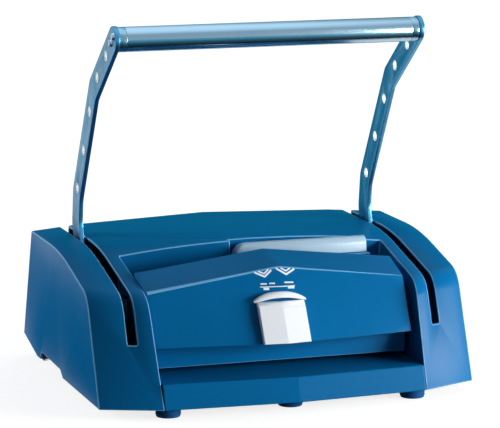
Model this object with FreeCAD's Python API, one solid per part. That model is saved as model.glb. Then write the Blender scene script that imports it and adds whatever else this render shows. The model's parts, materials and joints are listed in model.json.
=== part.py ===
import FreeCAD, Part
import math
import os

V = FreeCAD.Vector

# Desk binding machine: a long lever closes a jaw on the metal spine channel of a hard cover.
# The working frame while the pieces are drawn: X to the right, Y to the back, Z up.
# Y = 0 is the corner line of the front panel, and Z = 0 is 8 mm under the housing's lower edge.
# Pieces are moved at the end so that the origin is on the desk under the middle of the machine.

# Housing
BODY_HALF_WIDTH = 227.0
WALL = 3.0
BODY_BOTTOM_Z = 8.0
CREST_Z_MIDDLE = 166.0
CREST_Z_WING = 164.0
CREST_Z_SIDE = 160.0
FRONT_Y_WING = 3.0
FRONT_Y_SIDE = 31.0
PANEL_APEX = 10.0
REAR_Y_MIDDLE = 366.0
REAR_Y_SIDE = 336.0
REAR_LEAN = math.radians(18.5)
FRONT_LEAN = math.radians(22.0)
BROW_ANGLE = math.radians(13.5)
NOSE_RADIUS = 36.0
CROWN_RADIUS = 380.0
CROWN_Y_WING = 249.0
CROWN_Y_MIDDLE = 165.0
TAIL_RISE = 16.0
TAIL_LENGTH = 67.0
GRIP_NOTCH_Y = 205.0
GRIP_NOTCH_LENGTH = 90.0
GRIP_NOTCH_HEIGHT = 8.0
GRIP_DEPTH = 16.0
COVER_BOSS_YS = (74.0, 304.0)
BOSS_RADIUS = 5.2
BOSS_HEIGHT = 30.0

# Wing walls and the recess between them
WING_INNER_HALF = 158.0
WING_DRAFT = 0.034
SLOT_DECK_Z = 113.0
SLOT_FRONT_Y = 134.0
SLOT_WIDTH = 20.0
SLOT_HALF_LENGTH = WING_INNER_HALF - 5.0
SHELF_Z = 144.0
TROUGH_REAR_Y = 170.0
POCKET_LEFT_X = -27.0
POCKET_RIGHT_X = WING_INNER_HALF - 14.0
POCKET_REAR_Y = 178.0
TROUGH_FLOOR_Z = SLOT_DECK_Z + WALL

# Handle
FRAME_MID_X = WING_INNER_HALF + 12.0
PIVOT_Y = 239.0
PIVOT_Z = 50.0
HANDLE_SWING = math.radians(72.0)
ARM_MID_X = FRAME_MID_X + 14.0
ARM_THICK = 5.1
ARM_WIDTH = 31.0
ARM_SLOT_WIDTH = 10.4
ARM_SLOT_FOOT_Y = 40.0
ARM_SLOT_FOOT_Z = 77.0
ARM_KNEE_Y = 274.0
ARM_KNEE_Z = 213.0
ARM_ELBOW_Y = 196.0
ARM_ELBOW_Z = 348.0
GRIP_Y = 108.0
GRIP_Z = 416.0
GRIP_RADIUS = 14.4
GRIP_WALL = 1.8
GRIP_COLLAR = 9.0
ARM_HOLE_RADIUS = 6.4
SHAFT_RADIUS = 8.0
HUB_RADIUS = 19.0
RUNNING_GAP = 0.05

STOP_HEIGHT = 64.0
STOP_RADIUS = 5.0

# Press mechanism
FRAME_THICK = 4.0
CAM_X = FRAME_MID_X - 52.0
CAM_WIDTH = 12.0
CAM_PITCH_RADIUS = 34.0
JAW_TRAVEL = 12.0
ROLLER_RADIUS = 8.0
ROLLER_PIN_RADIUS = 4.0
JAW_THICK = 20.0
JAW_BOTTOM_Z = 64.5
JAW_TOP_Z = 111.5
BEAM_DROP = 24.0
SPINE_REST_THICK = 4.0
SPINE_REST_DEPTH = 20.0
TIE_BAR_BACK = 44.0
TIE_BAR_DROP = 24.0
TIE_BAR_RADIUS = 7.0
GUIDE_PIN_RADIUS = 5.0

# Front tray, hood and selector
TRAY_Z = 36.0
TRAY_THICK = 3.0
TRAY_RIB_PITCH = 0.4 * WING_INNER_HALF
HOOD_SIDE_GAP = 0.8
HOOD_END_GAP = 6.0
HOOD_HALF = WING_INNER_HALF - 0.5
HOOD_RIGHT_X = WING_INNER_HALF - HOOD_END_GAP
HOOD_WALL = 3.0
HOOD_EDGE_RADIUS = 3.0
HOOD_FOOT_Z = 71.5
HOOD_FOOT_Y_MIDDLE = 21.0
HOOD_FOOT_Y_END = 39.0
HOOD_LEDGE = 2.5
HOOD_CREASE_Y_MIDDLE = 72.0
HOOD_CREASE_Y_END = 68.0
HOOD_CREASE_Z_MIDDLE = 151.0
HOOD_CREASE_Z_END = 131.0
HOOD_BACK_Y_END = 112.0
HOOD_BACK_GAP = 3.0
HOOD_BACK_Z_MIDDLE = 162.0
HOOD_BACK_Z_END = 147.0
APRON_Y = 60.0
APRON_FOOT_Z = 43.6
APRON_SHEET = 2.5
LEDGE_DEPTH = 14.0
HOOD_SCREW_INSET = 14.0
HOOD_SCREW_BACK = 7.0
KNOB_HALF = 28.5
KNOB_FOOT_Z = HOOD_FOOT_Z - 0.5
KNOB_HEIGHT = 44.0
KNOB_STANDOFF = 2.0
KNOB_THICK = 5.0
KNOB_TRAVEL = 13.0
KNOB_REST_X = -0.5 * KNOB_TRAVEL
LIP_GAP = 2.0
LIP_HEIGHT = 9.5
LIP_OVERHANG = 2.0

# Base, feet and fasteners
BASE_THICK = 2.0
BASE_GAP = 1.0
FOOT_RADIUS = 15.0
FOOT_HEIGHT = 11.0
FOOT_SEAT = 3.0
FOOT_X = WING_INNER_HALF - 10.0
FOOT_FRONT_Y = 24.0
FOOT_MIDDLE_Y = 30.0
FOOT_REAR_Y = 315.0
SCREW_RADIUS = 2.0
SCREW_HEAD_RADIUS = 4.0
SCREW_HEAD_HEIGHT = 2.4

SIDES = (-1, 1)
LIFT = FOOT_HEIGHT - BODY_BOTTOM_Z
CAM_RATE = JAW_TRAVEL / HANDLE_SWING
FRONT_APEX_Y = FRONT_Y_WING - PANEL_APEX
REAR_APEX_Y = REAR_Y_MIDDLE + (CREST_Z_MIDDLE - BODY_BOTTOM_Z - TAIL_RISE) * math.tan(REAR_LEAN)
CENTRE_Y = 0.5 * (FRONT_APEX_Y + REAR_APEX_Y)

os.makedirs("parts", exist_ok=True)


def blend(a, b, share):
    """Value between a and b."""
    return a + (b - a) * share


def box(x0, x1, y0, y1, z0, z1):
    """Block between two corners."""
    return Part.makeBox(x1 - x0, y1 - y0, z1 - z0, V(x0, y0, z0))


def rod(start, axis, radius, length):
    """Round bar from a start point."""
    return Part.makeCylinder(radius, length, V(*start), V(*axis))


def tube(start, axis, radius, bore, length):
    """Round bar with a hole through it."""
    return rod(start, axis, radius, length).cut(rod(start, axis, bore, length))


def union(shapes):
    """One shape from several that touch."""
    result = shapes[0]
    for shape in shapes[1:]:
        result = result.fuse(shape)
    return result.removeSplitter()


def drilled(shape, tools):
    """Shape with several tools taken out."""
    for tool in tools:
        shape = shape.cut(tool)
    return shape


def mirrored(shape):
    """The same piece on the other side of the machine."""
    return shape.mirror(V(0, 0, 0), V(1, 0, 0))


def pair(shape):
    """A piece and its mirror image as two loose solids."""
    return Part.makeCompound([shape, mirrored(shape)])


def rounded_wire(x, points, radii):
    """Closed outline in the plane X = x whose corners carry the given radii."""
    edges = []
    count = len(points)
    starts = []
    ends = []
    for i in range(count):
        corner = V(x, *points[i])
        before = V(x, *points[i - 1]) - corner
        after = V(x, *points[(i + 1) % count]) - corner
        if radii[i] == 0:
            starts.append(corner)
            ends.append(corner)
            continue
        half = 0.5 * before.getAngle(after)
        reach = radii[i] / math.tan(half)
        before.normalize()
        after.normalize()
        starts.append(corner + before * reach)
        ends.append(corner + after * reach)
    for i in range(count):
        if radii[i] > 0:
            corner = V(x, *points[i])
            chord = (starts[i] + ends[i]) * 0.5
            out = corner - chord
            half = 0.5 * (starts[i] - corner).getAngle(ends[i] - corner)
            depth = radii[i] / math.sin(half) - radii[i]
            out.normalize()
            middle = corner - out * depth
            edges.append(Part.Arc(starts[i], middle, ends[i]).toShape())
        edges.append(Part.makeLine(ends[i], starts[(i + 1) % count]))
    return Part.Wire(edges)


def ruled(wires):
    """Solid with straight rulings between outlines."""
    return Part.makeLoft(wires, True, True)


def plate(x0, x1, points, radii):
    """Flat plate of a rounded outline, standing across X."""
    wire = rounded_wire(x0, points, radii)
    return Part.Face(wire).extrude(V(x1 - x0, 0, 0))


def screw(start, axis, length, radius=SCREW_RADIUS):
    """Pan-head screw: start is under the head, axis points along the shank."""
    shank = rod(start, axis, radius, length)
    back = V(*start) - V(*axis) * SCREW_HEAD_HEIGHT
    head = rod(tuple(back), axis, SCREW_HEAD_RADIUS, SCREW_HEAD_HEIGHT)
    return head.fuse(shank).removeSplitter()


# Housing outline


def crest_z(ax):
    """Height of the roof line at a distance from the middle."""
    if ax < WING_INNER_HALF:
        return blend(CREST_Z_MIDDLE, CREST_Z_WING, ax / WING_INNER_HALF)
    share = (ax - WING_INNER_HALF) / (BODY_HALF_WIDTH - WING_INNER_HALF)
    return blend(CREST_Z_WING, CREST_Z_SIDE, share)


def front_y(ax):
    """Foot of the sloping front at a distance from the middle: the wings sweep back."""
    if ax < WING_INNER_HALF:
        return blend(FRONT_APEX_Y, FRONT_Y_WING, ax / WING_INNER_HALF)
    share = (ax - WING_INNER_HALF) / (BODY_HALF_WIDTH - WING_INNER_HALF)
    return blend(FRONT_Y_WING, FRONT_Y_SIDE, share)


def rear_y(ax):
    """Rear edge of the roof at a distance from the middle."""
    return blend(REAR_Y_MIDDLE, REAR_Y_SIDE, ax / BODY_HALF_WIDTH)


def crown_y(ax):
    """Where the level roof begins to fall towards the front."""
    return blend(CROWN_Y_MIDDLE, CROWN_Y_WING, min(ax / WING_INNER_HALF, 1.0))


def arc_points(centre_y, centre_z, radius, a0, a1, x):
    """Start, middle and end of an arc in the plane X = x; angles run from straight up to the front."""
    points = []
    for share in (0.0, 0.5, 1.0):
        a = blend(a0, a1, share)
        points.append(V(x, centre_y - radius * math.sin(a), centre_z + radius * math.cos(a)))
    return points


def housing_section(x, inset, floor_z, with_tail):
    """Closed outline of the housing at one X: sloping front, nose, brow, crown and leaning back."""
    ax = abs(x)
    top = crest_z(ax) - inset
    crown_r = CROWN_RADIUS - inset
    nose_r = NOSE_RADIUS - inset
    steep = math.pi / 2 - FRONT_LEAN
    foot_y = front_y(ax) + inset / math.cos(FRONT_LEAN)
    foot_y += (floor_z - BODY_BOTTOM_Z) * math.tan(FRONT_LEAN)
    c0, c_mid, c1 = arc_points(crown_y(ax), top - crown_r, crown_r, 0.0, BROW_ANGLE, x)
    nose_back = nose_r * (math.sin(steep) - math.sin(BROW_ANGLE))
    nose_drop = nose_r * (math.cos(BROW_ANGLE) - math.cos(steep))
    rest = c1.y - nose_back - foot_y - (c1.z - nose_drop - floor_z) * math.tan(FRONT_LEAN)
    brow = rest / (math.cos(BROW_ANGLE) - math.sin(BROW_ANGLE) * math.tan(FRONT_LEAN))
    n0 = V(x, c1.y - brow * math.cos(BROW_ANGLE), c1.z - brow * math.sin(BROW_ANGLE))
    nose_cy = n0.y + nose_r * math.sin(BROW_ANGLE)
    nose_cz = n0.z - nose_r * math.cos(BROW_ANGLE)
    n0, n_mid, n1 = arc_points(nose_cy, nose_cz, nose_r, BROW_ANGLE, steep, x)
    roof_rear = V(x, rear_y(ax) - inset / math.cos(REAR_LEAN), top)
    tail_z = floor_z + (TAIL_RISE if with_tail else 0.0)
    tail = V(x, roof_rear.y + (top - tail_z) * math.tan(REAR_LEAN), tail_z)
    keel = V(x, tail.y - TAIL_LENGTH, floor_z)
    foot = V(x, foot_y, floor_z)
    edges = [
        Part.makeLine(foot, n1),
        Part.Arc(n1, n_mid, n0).toShape(),
        Part.makeLine(n0, c1),
        Part.Arc(c1, c_mid, c0).toShape(),
        Part.makeLine(c0, roof_rear),
        Part.makeLine(roof_rear, tail),
        Part.makeLine(tail, keel),
        Part.makeLine(keel, foot),
    ]
    return Part.Wire(edges)


def housing_body(half, inset, floor_z, with_tail):
    """Solid block inside the housing outline."""
    stations = (-half, -WING_INNER_HALF, 0.0, WING_INNER_HALF, half)
    return ruled([housing_section(x, inset, floor_z, with_tail) for x in stations])


def wing_half(z):
    """Half width of the recess: its side walls lean outwards as they rise."""
    return WING_INNER_HALF + WING_DRAFT * (z - BODY_BOTTOM_Z)


def recess_block(y0, y1, z0, z1, grow):
    """Block between the wing walls, with their draft."""
    wires = []
    for z in (z0, z1):
        half = wing_half(z) + grow
        corners = [V(-half, y0, z), V(half, y0, z), V(half, y1, z), V(-half, y1, z)]
        wires.append(Part.makePolygon(corners + [corners[0]]))
    return Part.makeLoft(wires, True, True)


SLOT_REAR_Y = SLOT_FRONT_Y + SLOT_WIDTH
TOP_Z = CREST_Z_MIDDLE + 40.0
IN_FRONT_Y = FRONT_APEX_Y - 60.0
BEAM_FRONT_Y = SLOT_FRONT_Y - 12.0
HOOD_DECK_Z = JAW_TOP_Z + 2.5


def make_main_cover():
    """Moulded housing: roof, wings, sides and back in one shell, open below."""
    shell = housing_body(BODY_HALF_WIDTH, 0.0, BODY_BOTTOM_Z, True)
    cavity = housing_body(BODY_HALF_WIDTH - WALL, WALL, -6.0, False)
    throat = recess_block(IN_FRONT_Y, BEAM_FRONT_Y, -20.0, TOP_Z, 0.0)
    slot = recess_block(BEAM_FRONT_Y - 1.0, SLOT_REAR_Y, SLOT_DECK_Z, TOP_Z, 0.0)
    ledge = box(POCKET_LEFT_X, POCKET_RIGHT_X, SLOT_REAR_Y, POCKET_REAR_Y, SLOT_DECK_Z, SHELF_Z)
    trough = recess_block(BEAM_FRONT_Y - 1.0, TROUGH_REAR_Y, TROUGH_FLOOR_Z, TOP_Z, 0.0).cut(ledge)
    pocket = box(POCKET_LEFT_X, POCKET_RIGHT_X, TROUGH_REAR_Y - 1.0, POCKET_REAR_Y, SHELF_Z, TOP_Z)
    hollow = box(POCKET_LEFT_X + WALL, POCKET_RIGHT_X - WALL, SLOT_REAR_Y + WALL, POCKET_REAR_Y + WALL,
                 SLOT_DECK_Z - 1.0, SHELF_Z - WALL)
    walls = union([
        recess_block(IN_FRONT_Y, BEAM_FRONT_Y, -20.0, TOP_Z, WALL),
        recess_block(BEAM_FRONT_Y - 1.0, TROUGH_REAR_Y + WALL, SLOT_DECK_Z, TOP_Z, WALL),
        box(POCKET_LEFT_X - WALL, POCKET_RIGHT_X + WALL, TROUGH_REAR_Y, POCKET_REAR_Y + WALL,
            SHELF_Z - WALL, TOP_Z),
    ])
    cover = shell.cut(cavity.cut(walls))
    cover = drilled(cover, [throat, slot, trough, pocket, hollow, base_outline(BASE_GAP)])
    for x, y in cover_boss_places():
        boss = rod((x, y, BODY_BOTTOM_Z + BASE_THICK), (0, 0, 1), BOSS_RADIUS, BOSS_HEIGHT)
        cover = cover.fuse(boss)
        cover = cover.cut(rod((x, y, BODY_BOTTOM_Z), (0, 0, 1), SCREW_RADIUS, 14.0))
    cover = cover.removeSplitter()
    for side in SIDES:
        cover = cover.cut(arm_slot_cutter(side))
        cover = cover.cut(grip_notch_cutter(side))
    return cover


def arm_slot_cutter(side):
    """Curved slot in the roof and nose through which one arm swings; open at the rear edge."""
    outline = [
        (FRONT_APEX_Y - 20.0, ARM_SLOT_FOOT_Z),
        (ARM_SLOT_FOOT_Y + 18.0, ARM_SLOT_FOOT_Z),
        (ARM_SLOT_FOOT_Y + 62.0, CREST_Z_SIDE - 36.0),
        (TROUGH_REAR_Y + 20.0, CREST_Z_SIDE - 13.0),
        (REAR_APEX_Y + 20.0, CREST_Z_SIDE - 13.0),
        (REAR_APEX_Y + 20.0, TOP_Z),
        (FRONT_APEX_Y - 20.0, TOP_Z),
    ]
    half = 0.5 * ARM_SLOT_WIDTH
    return plate(side * ARM_MID_X - half, side * ARM_MID_X + half, outline, [0] * len(outline))


def grip_notch_cutter(side):
    """Shallow hand notch under one side wall."""
    end_y = GRIP_NOTCH_Y + GRIP_NOTCH_LENGTH
    outline = [
        (GRIP_NOTCH_Y - 12.0, BODY_BOTTOM_Z - 10.0),
        (GRIP_NOTCH_Y - 12.0, BODY_BOTTOM_Z),
        (GRIP_NOTCH_Y, BODY_BOTTOM_Z + GRIP_NOTCH_HEIGHT),
        (end_y, BODY_BOTTOM_Z + GRIP_NOTCH_HEIGHT + 2.0),
        (end_y + 6.0, BODY_BOTTOM_Z),
        (end_y + 6.0, BODY_BOTTOM_Z - 10.0),
    ]
    outer = side * (BODY_HALF_WIDTH + 5.0)
    inner = side * (BODY_HALF_WIDTH - WALL - 2.0)
    return plate(min(outer, inner), max(outer, inner), outline, [0, 0, 3.0, 3.0, 0, 0])


# Front tray


def make_front_tray():
    """Tray with the V-shaped front panel: the cover's spine rests here to be opened."""
    sections = []
    for x, apex in ((-1, 0.0), (0, PANEL_APEX), (1, 0.0)):
        half = WING_INNER_HALF - 0.4
        foot_y = FRONT_Y_WING - apex
        lip_y = foot_y + (TRAY_Z - BODY_BOTTOM_Z) * math.tan(FRONT_LEAN) * 0.8
        outline = [
            (foot_y, BODY_BOTTOM_Z),
            (lip_y, TRAY_Z),
            (BEAM_FRONT_Y - 0.4, TRAY_Z),
            (BEAM_FRONT_Y - 0.4, TRAY_Z - TRAY_THICK),
            (lip_y + 3.4, TRAY_Z - TRAY_THICK),
            (foot_y + 3.4, BODY_BOTTOM_Z),
        ]
        sections.append(rounded_wire(x * half, outline, [0, 2.0, 0, 0, 0, 0]))
    tray = ruled(sections)
    ribs = []
    rib_x = TRAY_RIB_PITCH - WING_INNER_HALF
    while rib_x < WING_INNER_HALF - 0.5 * TRAY_RIB_PITCH:
        ribs.append(box(rib_x - 1.0, rib_x + 1.0, FOOT_MIDDLE_Y, BEAM_FRONT_Y - 6.0,
                        BODY_BOTTOM_Z + BASE_THICK, TRAY_Z - 2.0))
        rib_x += TRAY_RIB_PITCH
    return union([tray] + ribs)


# Hood and apron


def hood_points(ax):
    """Foot, crease and rear edge of the hood at a distance from the middle, each as (Y, Z)."""
    share = ax / HOOD_HALF
    foot = (blend(HOOD_FOOT_Y_MIDDLE, HOOD_FOOT_Y_END, share), HOOD_FOOT_Z)
    crease = (blend(HOOD_CREASE_Y_MIDDLE, HOOD_CREASE_Y_END, share),
              blend(HOOD_CREASE_Z_MIDDLE, HOOD_CREASE_Z_END, share))
    back = (blend(SLOT_FRONT_Y - HOOD_BACK_GAP, HOOD_BACK_Y_END, share),
            blend(HOOD_BACK_Z_MIDDLE, HOOD_BACK_Z_END, share))
    return foot, crease, back


def hood_shell_section(x):
    """Outline of the hood's sheet at one X: front, top, rear skirt, deck and lower ledge."""
    foot, crease, back = hood_points(abs(x))
    w = HOOD_WALL
    lean = math.atan2(crease[0] - foot[0], crease[1] - foot[1])
    fall = math.atan2(back[1] - crease[1], back[0] - crease[0])
    floor_z = foot[1] + HOOD_LEDGE
    ledge_y = APRON_Y + LEDGE_DEPTH
    deck_y = SLOT_FRONT_Y - 0.5
    outline = [
        foot, crease, back,
        (back[0], HOOD_DECK_Z), (deck_y, HOOD_DECK_Z), (deck_y, JAW_TOP_Z), (back[0] - w, JAW_TOP_Z),
        (back[0] - w, back[1] - w / math.cos(fall)),
        (crease[0] + w, crease[1] - w),
        (foot[0] + w / math.cos(lean) + HOOD_LEDGE * math.tan(lean), floor_z),
        (ledge_y, floor_z), (ledge_y, foot[1]),
    ]
    return rounded_wire(x, outline, [0, HOOD_EDGE_RADIUS, 1.5] + [0] * 9)


def hood_block_section(x):
    """Outline of the filled hood at one X, for its end walls."""
    foot, crease, back = hood_points(abs(x))
    outline = [foot, crease, back, (back[0], JAW_TOP_Z), (APRON_Y + LEDGE_DEPTH, HOOD_FOOT_Z)]
    return rounded_wire(x, outline, [0, HOOD_EDGE_RADIUS, 1.5, 0, 0])


def make_hood():
    """Folded hood between the wings: V-shaped front, sloping top and a rear skirt."""
    left_x = -wing_half(CREST_Z_MIDDLE)
    stations = (left_x, 0.0, HOOD_RIGHT_X)
    hood = ruled([hood_shell_section(x) for x in stations])
    block = ruled([hood_block_section(x) for x in stations])
    left_wall = WING_INNER_HALF - HOOD_SIDE_GAP - HOOD_WALL
    depth = (-50.0, 200.0, 0.0, 200.0)
    hood = hood.fuse(block.common(box(left_x, -left_wall, *depth)))
    hood = hood.fuse(block.common(box(HOOD_RIGHT_X - HOOD_WALL, HOOD_RIGHT_X, *depth)))
    hood = hood.common(recess_block(-50.0, 200.0, 0.0, TOP_Z, -HOOD_SIDE_GAP))
    slot_half = 0.5 * KNOB_TRAVEL + STEM_HALF + 1.0
    stem_slot = box(-slot_half, slot_half, FRONT_APEX_Y, SLOT_FRONT_Y - 20.0, STEM_Z0 - 1.0, STEM_Z1 + 1.0)
    holes = [rod((x, y, JAW_TOP_Z - 1.0), (0, 0, 1), SCREW_RADIUS, 6.0) for x, y in hood_screw_places()]
    return drilled(hood.removeSplitter(), [stem_slot] + holes)


def make_hood_apron():
    """Recessed wall under the hood, with a flange above and the roof of the low slit below."""
    rear = BEAM_FRONT_Y - 0.3
    w = APRON_SHEET
    outline = [
        (APRON_Y, APRON_FOOT_Z), (APRON_Y, HOOD_FOOT_Z),
        (rear, HOOD_FOOT_Z), (rear, HOOD_FOOT_Z - w),
        (APRON_Y + w, HOOD_FOOT_Z - w), (APRON_Y + w, APRON_FOOT_Z + w),
        (rear, APRON_FOOT_Z + w), (rear, APRON_FOOT_Z),
    ]
    left_x = -(WING_INNER_HALF - HOOD_SIDE_GAP)
    return plate(left_x, HOOD_RIGHT_X, outline, [0] * len(outline))


# Selector


def hood_face_y(x, z):
    """Front surface of the hood at one point of its two halves."""
    foot, crease, back = hood_points(abs(x))
    return blend(foot[0], crease[0], (z - foot[1]) / (crease[1] - foot[1]))


def knob_section(x, z0, z1, stand, thick, radius):
    """Slice of a plate that follows the hood's fold at a stand-off; x is from the knob's middle."""
    outline = [
        (hood_face_y(x, z0) - stand - thick, z0),
        (hood_face_y(x, z1) - stand - thick, z1),
        (hood_face_y(x, z1) - stand, z1),
        (hood_face_y(x, z0) - stand, z0),
    ]
    return rounded_wire(KNOB_REST_X + x, outline, [radius, radius, 0, 0])


def make_selector_knob():
    """White thumb slide with a folded face and a rolled lip above it."""
    face_top = KNOB_FOOT_Z + KNOB_HEIGHT
    lip_z = face_top + LIP_GAP
    face_half = KNOB_HALF
    lip_half = KNOB_HALF + LIP_OVERHANG
    web_half = KNOB_HALF - 1.0
    face = ruled([knob_section(x, KNOB_FOOT_Z, face_top, KNOB_STANDOFF, KNOB_THICK, 1.2)
                  for x in (-face_half, 0.0, face_half)])
    lip = ruled([knob_section(x, lip_z, lip_z + LIP_HEIGHT, KNOB_STANDOFF, KNOB_THICK + 3.5, 3.0)
                 for x in (-lip_half, 0.0, lip_half)])
    web = ruled([knob_section(x, face_top - 4.0, lip_z + 4.0, KNOB_STANDOFF, 0.5 * KNOB_THICK, 0.5)
                 for x in (-web_half, 0.0, web_half)])
    return union([face, web, lip])


STEM_Z0 = HOOD_FOOT_Z + 19.0
STEM_Z1 = HOOD_FOOT_Z + 27.0
STEM_HALF = 6.0
SLIDE_THICK = 3.0
SLIDE_HALF = 22.0
SLIDE_EDGE = 10.0
RAIL_LIP = 3.0
RAIL_THICK = 4.0
RAIL_GAP = 0.1
RAIL_HALF = SLIDE_HALF + 0.5 * KNOB_TRAVEL + RAIL_THICK
RAIL_TOP_Z = STEM_Z1 + SLIDE_EDGE + RAIL_THICK
SLIDE_FRONT_Y = hood_face_y(RAIL_HALF, RAIL_TOP_Z) + 1.5 * HOOD_WALL + RAIL_LIP


def make_selector_stem():
    """Flat stem that carries the knob through the hood."""
    sections = []
    for x in (-STEM_HALF, 0.0, STEM_HALF):
        outline = [
            (hood_face_y(x, STEM_Z0) - KNOB_STANDOFF, STEM_Z0),
            (hood_face_y(x, STEM_Z1) - KNOB_STANDOFF, STEM_Z1),
            (SLIDE_FRONT_Y, STEM_Z1),
            (SLIDE_FRONT_Y, STEM_Z0),
        ]
        sections.append(rounded_wire(KNOB_REST_X + x, outline, [0] * 4))
    return ruled(sections)


def make_selector_slide():
    """Slide plate on the inner side of the hood, fixed to the stem."""
    return box(KNOB_REST_X - SLIDE_HALF, KNOB_REST_X + SLIDE_HALF, SLIDE_FRONT_Y,
               SLIDE_FRONT_Y + SLIDE_THICK, STEM_Z0 - SLIDE_EDGE, STEM_Z1 + SLIDE_EDGE)


def make_selector_rails():
    """Two rails that hold the slide plate's edges; they stand on the hood's lower ledge."""
    front = SLIDE_FRONT_Y - RAIL_LIP
    behind = SLIDE_FRONT_Y + SLIDE_THICK + 2 * RAIL_GAP
    low_z = STEM_Z0 - SLIDE_EDGE - RAIL_GAP
    high_z = STEM_Z1 + SLIDE_EDGE + RAIL_GAP
    foot_z = HOOD_FOOT_Z + HOOD_LEDGE
    back = box(-RAIL_HALF, RAIL_HALF, behind, behind + RAIL_LIP, foot_z, RAIL_TOP_Z)
    low = box(-RAIL_HALF, RAIL_HALF, front, behind, foot_z, low_z)
    high = box(-RAIL_HALF, RAIL_HALF, front, behind, high_z, RAIL_TOP_Z)
    return union([back, low, high])


# Frame


def frame_slot(z):
    """Straight slot in the side frames for one guide pin."""
    y0 = SLOT_REAR_Y + 0.5 * JAW_THICK
    radius = GUIDE_PIN_RADIUS + RUNNING_GAP
    x0 = FRAME_MID_X - FRAME_THICK
    length = 2 * FRAME_THICK
    travel = JAW_TRAVEL + 1.0
    front = rod((x0, y0 - travel, z), (1, 0, 0), radius, length)
    rear = rod((x0, y0 + 0.5, z), (1, 0, 0), radius, length)
    middle = box(x0, x0 + length, y0 - travel, y0 + 0.5, z - radius, z + radius)
    return union([front, rear, middle])


def frame_screw_places(side):
    """Where the foot flange of one side frame is screwed to the base."""
    x = side * (FRAME_MID_X - 9.0)
    return [(x, y) for y in (BEAM_FRONT_Y + 24.0, PIVOT_Y - 10.0, PIVOT_Y + 40.0)]


GUIDE_PIN_ZS = (JAW_BOTTOM_Z + 9.0, JAW_TOP_Z - 9.0)
FRAME_BOTTOM_Z = BODY_BOTTOM_Z + BASE_THICK
BUSH_RADIUS = SHAFT_RADIUS + 4.0


def make_side_frame():
    """Steel side frame with its foot flange, bearing hole, guide slots and lightening holes."""
    x0 = FRAME_MID_X - 0.5 * FRAME_THICK
    outline = [
        (BEAM_FRONT_Y - 4.0, FRAME_BOTTOM_Z),
        (BEAM_FRONT_Y - 4.0, JAW_TOP_Z),
        (SLOT_REAR_Y + 26.0, JAW_TOP_Z),
        (PIVOT_Y + 24.0, PIVOT_Z + 72.0),
        (PIVOT_Y + 54.0, PIVOT_Z + 72.0),
        (PIVOT_Y + 64.0, FRAME_BOTTOM_Z),
    ]
    web = plate(x0, x0 + FRAME_THICK, outline, [0, 6.0, 20.0, 20.0, 14.0, 0])
    flange = box(FRAME_MID_X - 16.0, x0 + 1.0, BEAM_FRONT_Y + 8.0, PIVOT_Y + 56.0,
                 FRAME_BOTTOM_Z, FRAME_BOTTOM_Z + FRAME_THICK)
    frame = union([web, flange])
    cuts = [rod((x0 - 1.0, PIVOT_Y, PIVOT_Z), (1, 0, 0), BUSH_RADIUS, FRAME_THICK + 2.0)]
    cuts += [frame_slot(z) for z in GUIDE_PIN_ZS]
    stop_y, stop_z = stop_place()
    cuts.append(rod((x0 - 1.0, stop_y, stop_z), (1, 0, 0), 3.0, FRAME_THICK + 2.0))
    for x, y in frame_screw_places(1):
        cuts.append(rod((x, y, FRAME_BOTTOM_Z - 1.0), (0, 0, 1), SCREW_RADIUS, FRAME_THICK + 2.0))
    for y in (SLOT_FRONT_Y + 8.0, SLOT_REAR_Y + 28.0):
        cuts.append(rod((x0 - 1.0, y, 36.0), (1, 0, 0), 12.0, FRAME_THICK + 2.0))
    return drilled(frame, cuts)


def stop_place():
    """Centre of the stop behind an arm: the arm's rear edge rests on its rubber sleeve."""
    knee = arm_centre_line()[1]
    length = math.hypot(knee[0] - PIVOT_Y, knee[1] - PIVOT_Z)
    along_y = (knee[0] - PIVOT_Y) / length
    along_z = (knee[1] - PIVOT_Z) / length
    reach = 0.5 * ARM_WIDTH + STOP_RADIUS + 0.3
    y = PIVOT_Y + along_y * STOP_HEIGHT + along_z * reach
    z = PIVOT_Z + along_z * STOP_HEIGHT - along_y * reach
    return y, z


def make_stop_pin():
    """Pin in the side frame that carries the stop sleeve."""
    y, z = stop_place()
    x0 = FRAME_MID_X - 0.5 * FRAME_THICK
    shank = rod((x0 - 2.0, y, z), (1, 0, 0), 3.0, ARM_MID_X + 7.0 - x0)
    head = rod((x0 - 2.0, y, z), (1, 0, 0), 5.0, 2.0)
    return shank.fuse(head).removeSplitter()


def make_stop_sleeve():
    """Rubber sleeve on the stop pin."""
    y, z = stop_place()
    x0 = FRAME_MID_X + 0.5 * FRAME_THICK
    return tube((x0, y, z), (1, 0, 0), STOP_RADIUS, 3.0, ARM_MID_X + 4.0 - x0)


def tail_y(x):
    """Rear foot of the housing at one X."""
    ax = abs(x)
    drop = crest_z(ax) - BODY_BOTTOM_Z - TAIL_RISE
    return rear_y(ax) + drop * math.tan(REAR_LEAN)


BASE_HALF = BODY_HALF_WIDTH - WALL - BASE_GAP


def base_outline(grow):
    """Flat part of the base as a block that may be grown, to make room for the sheet in the cover."""
    half = BASE_HALF + 0.5 * grow
    wing = WING_INNER_HALF + WALL + grow
    front = FRONT_Y_WING + 3.0 * WALL - grow
    side = FRONT_Y_SIDE + 2.0 * WALL - grow
    corners = [
        (-half, side), (-wing, front), (0.0, front - PANEL_APEX), (wing, front), (half, side),
        (half, tail_y(half) - TAIL_LENGTH), (0.0, tail_y(0.0) - TAIL_LENGTH),
        (-half, tail_y(half) - TAIL_LENGTH),
    ]
    points = [V(x, y, BODY_BOTTOM_Z) for x, y in corners]
    return Part.Face(Part.makePolygon(points + [points[0]])).extrude(V(0, 0, BASE_THICK))


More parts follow.
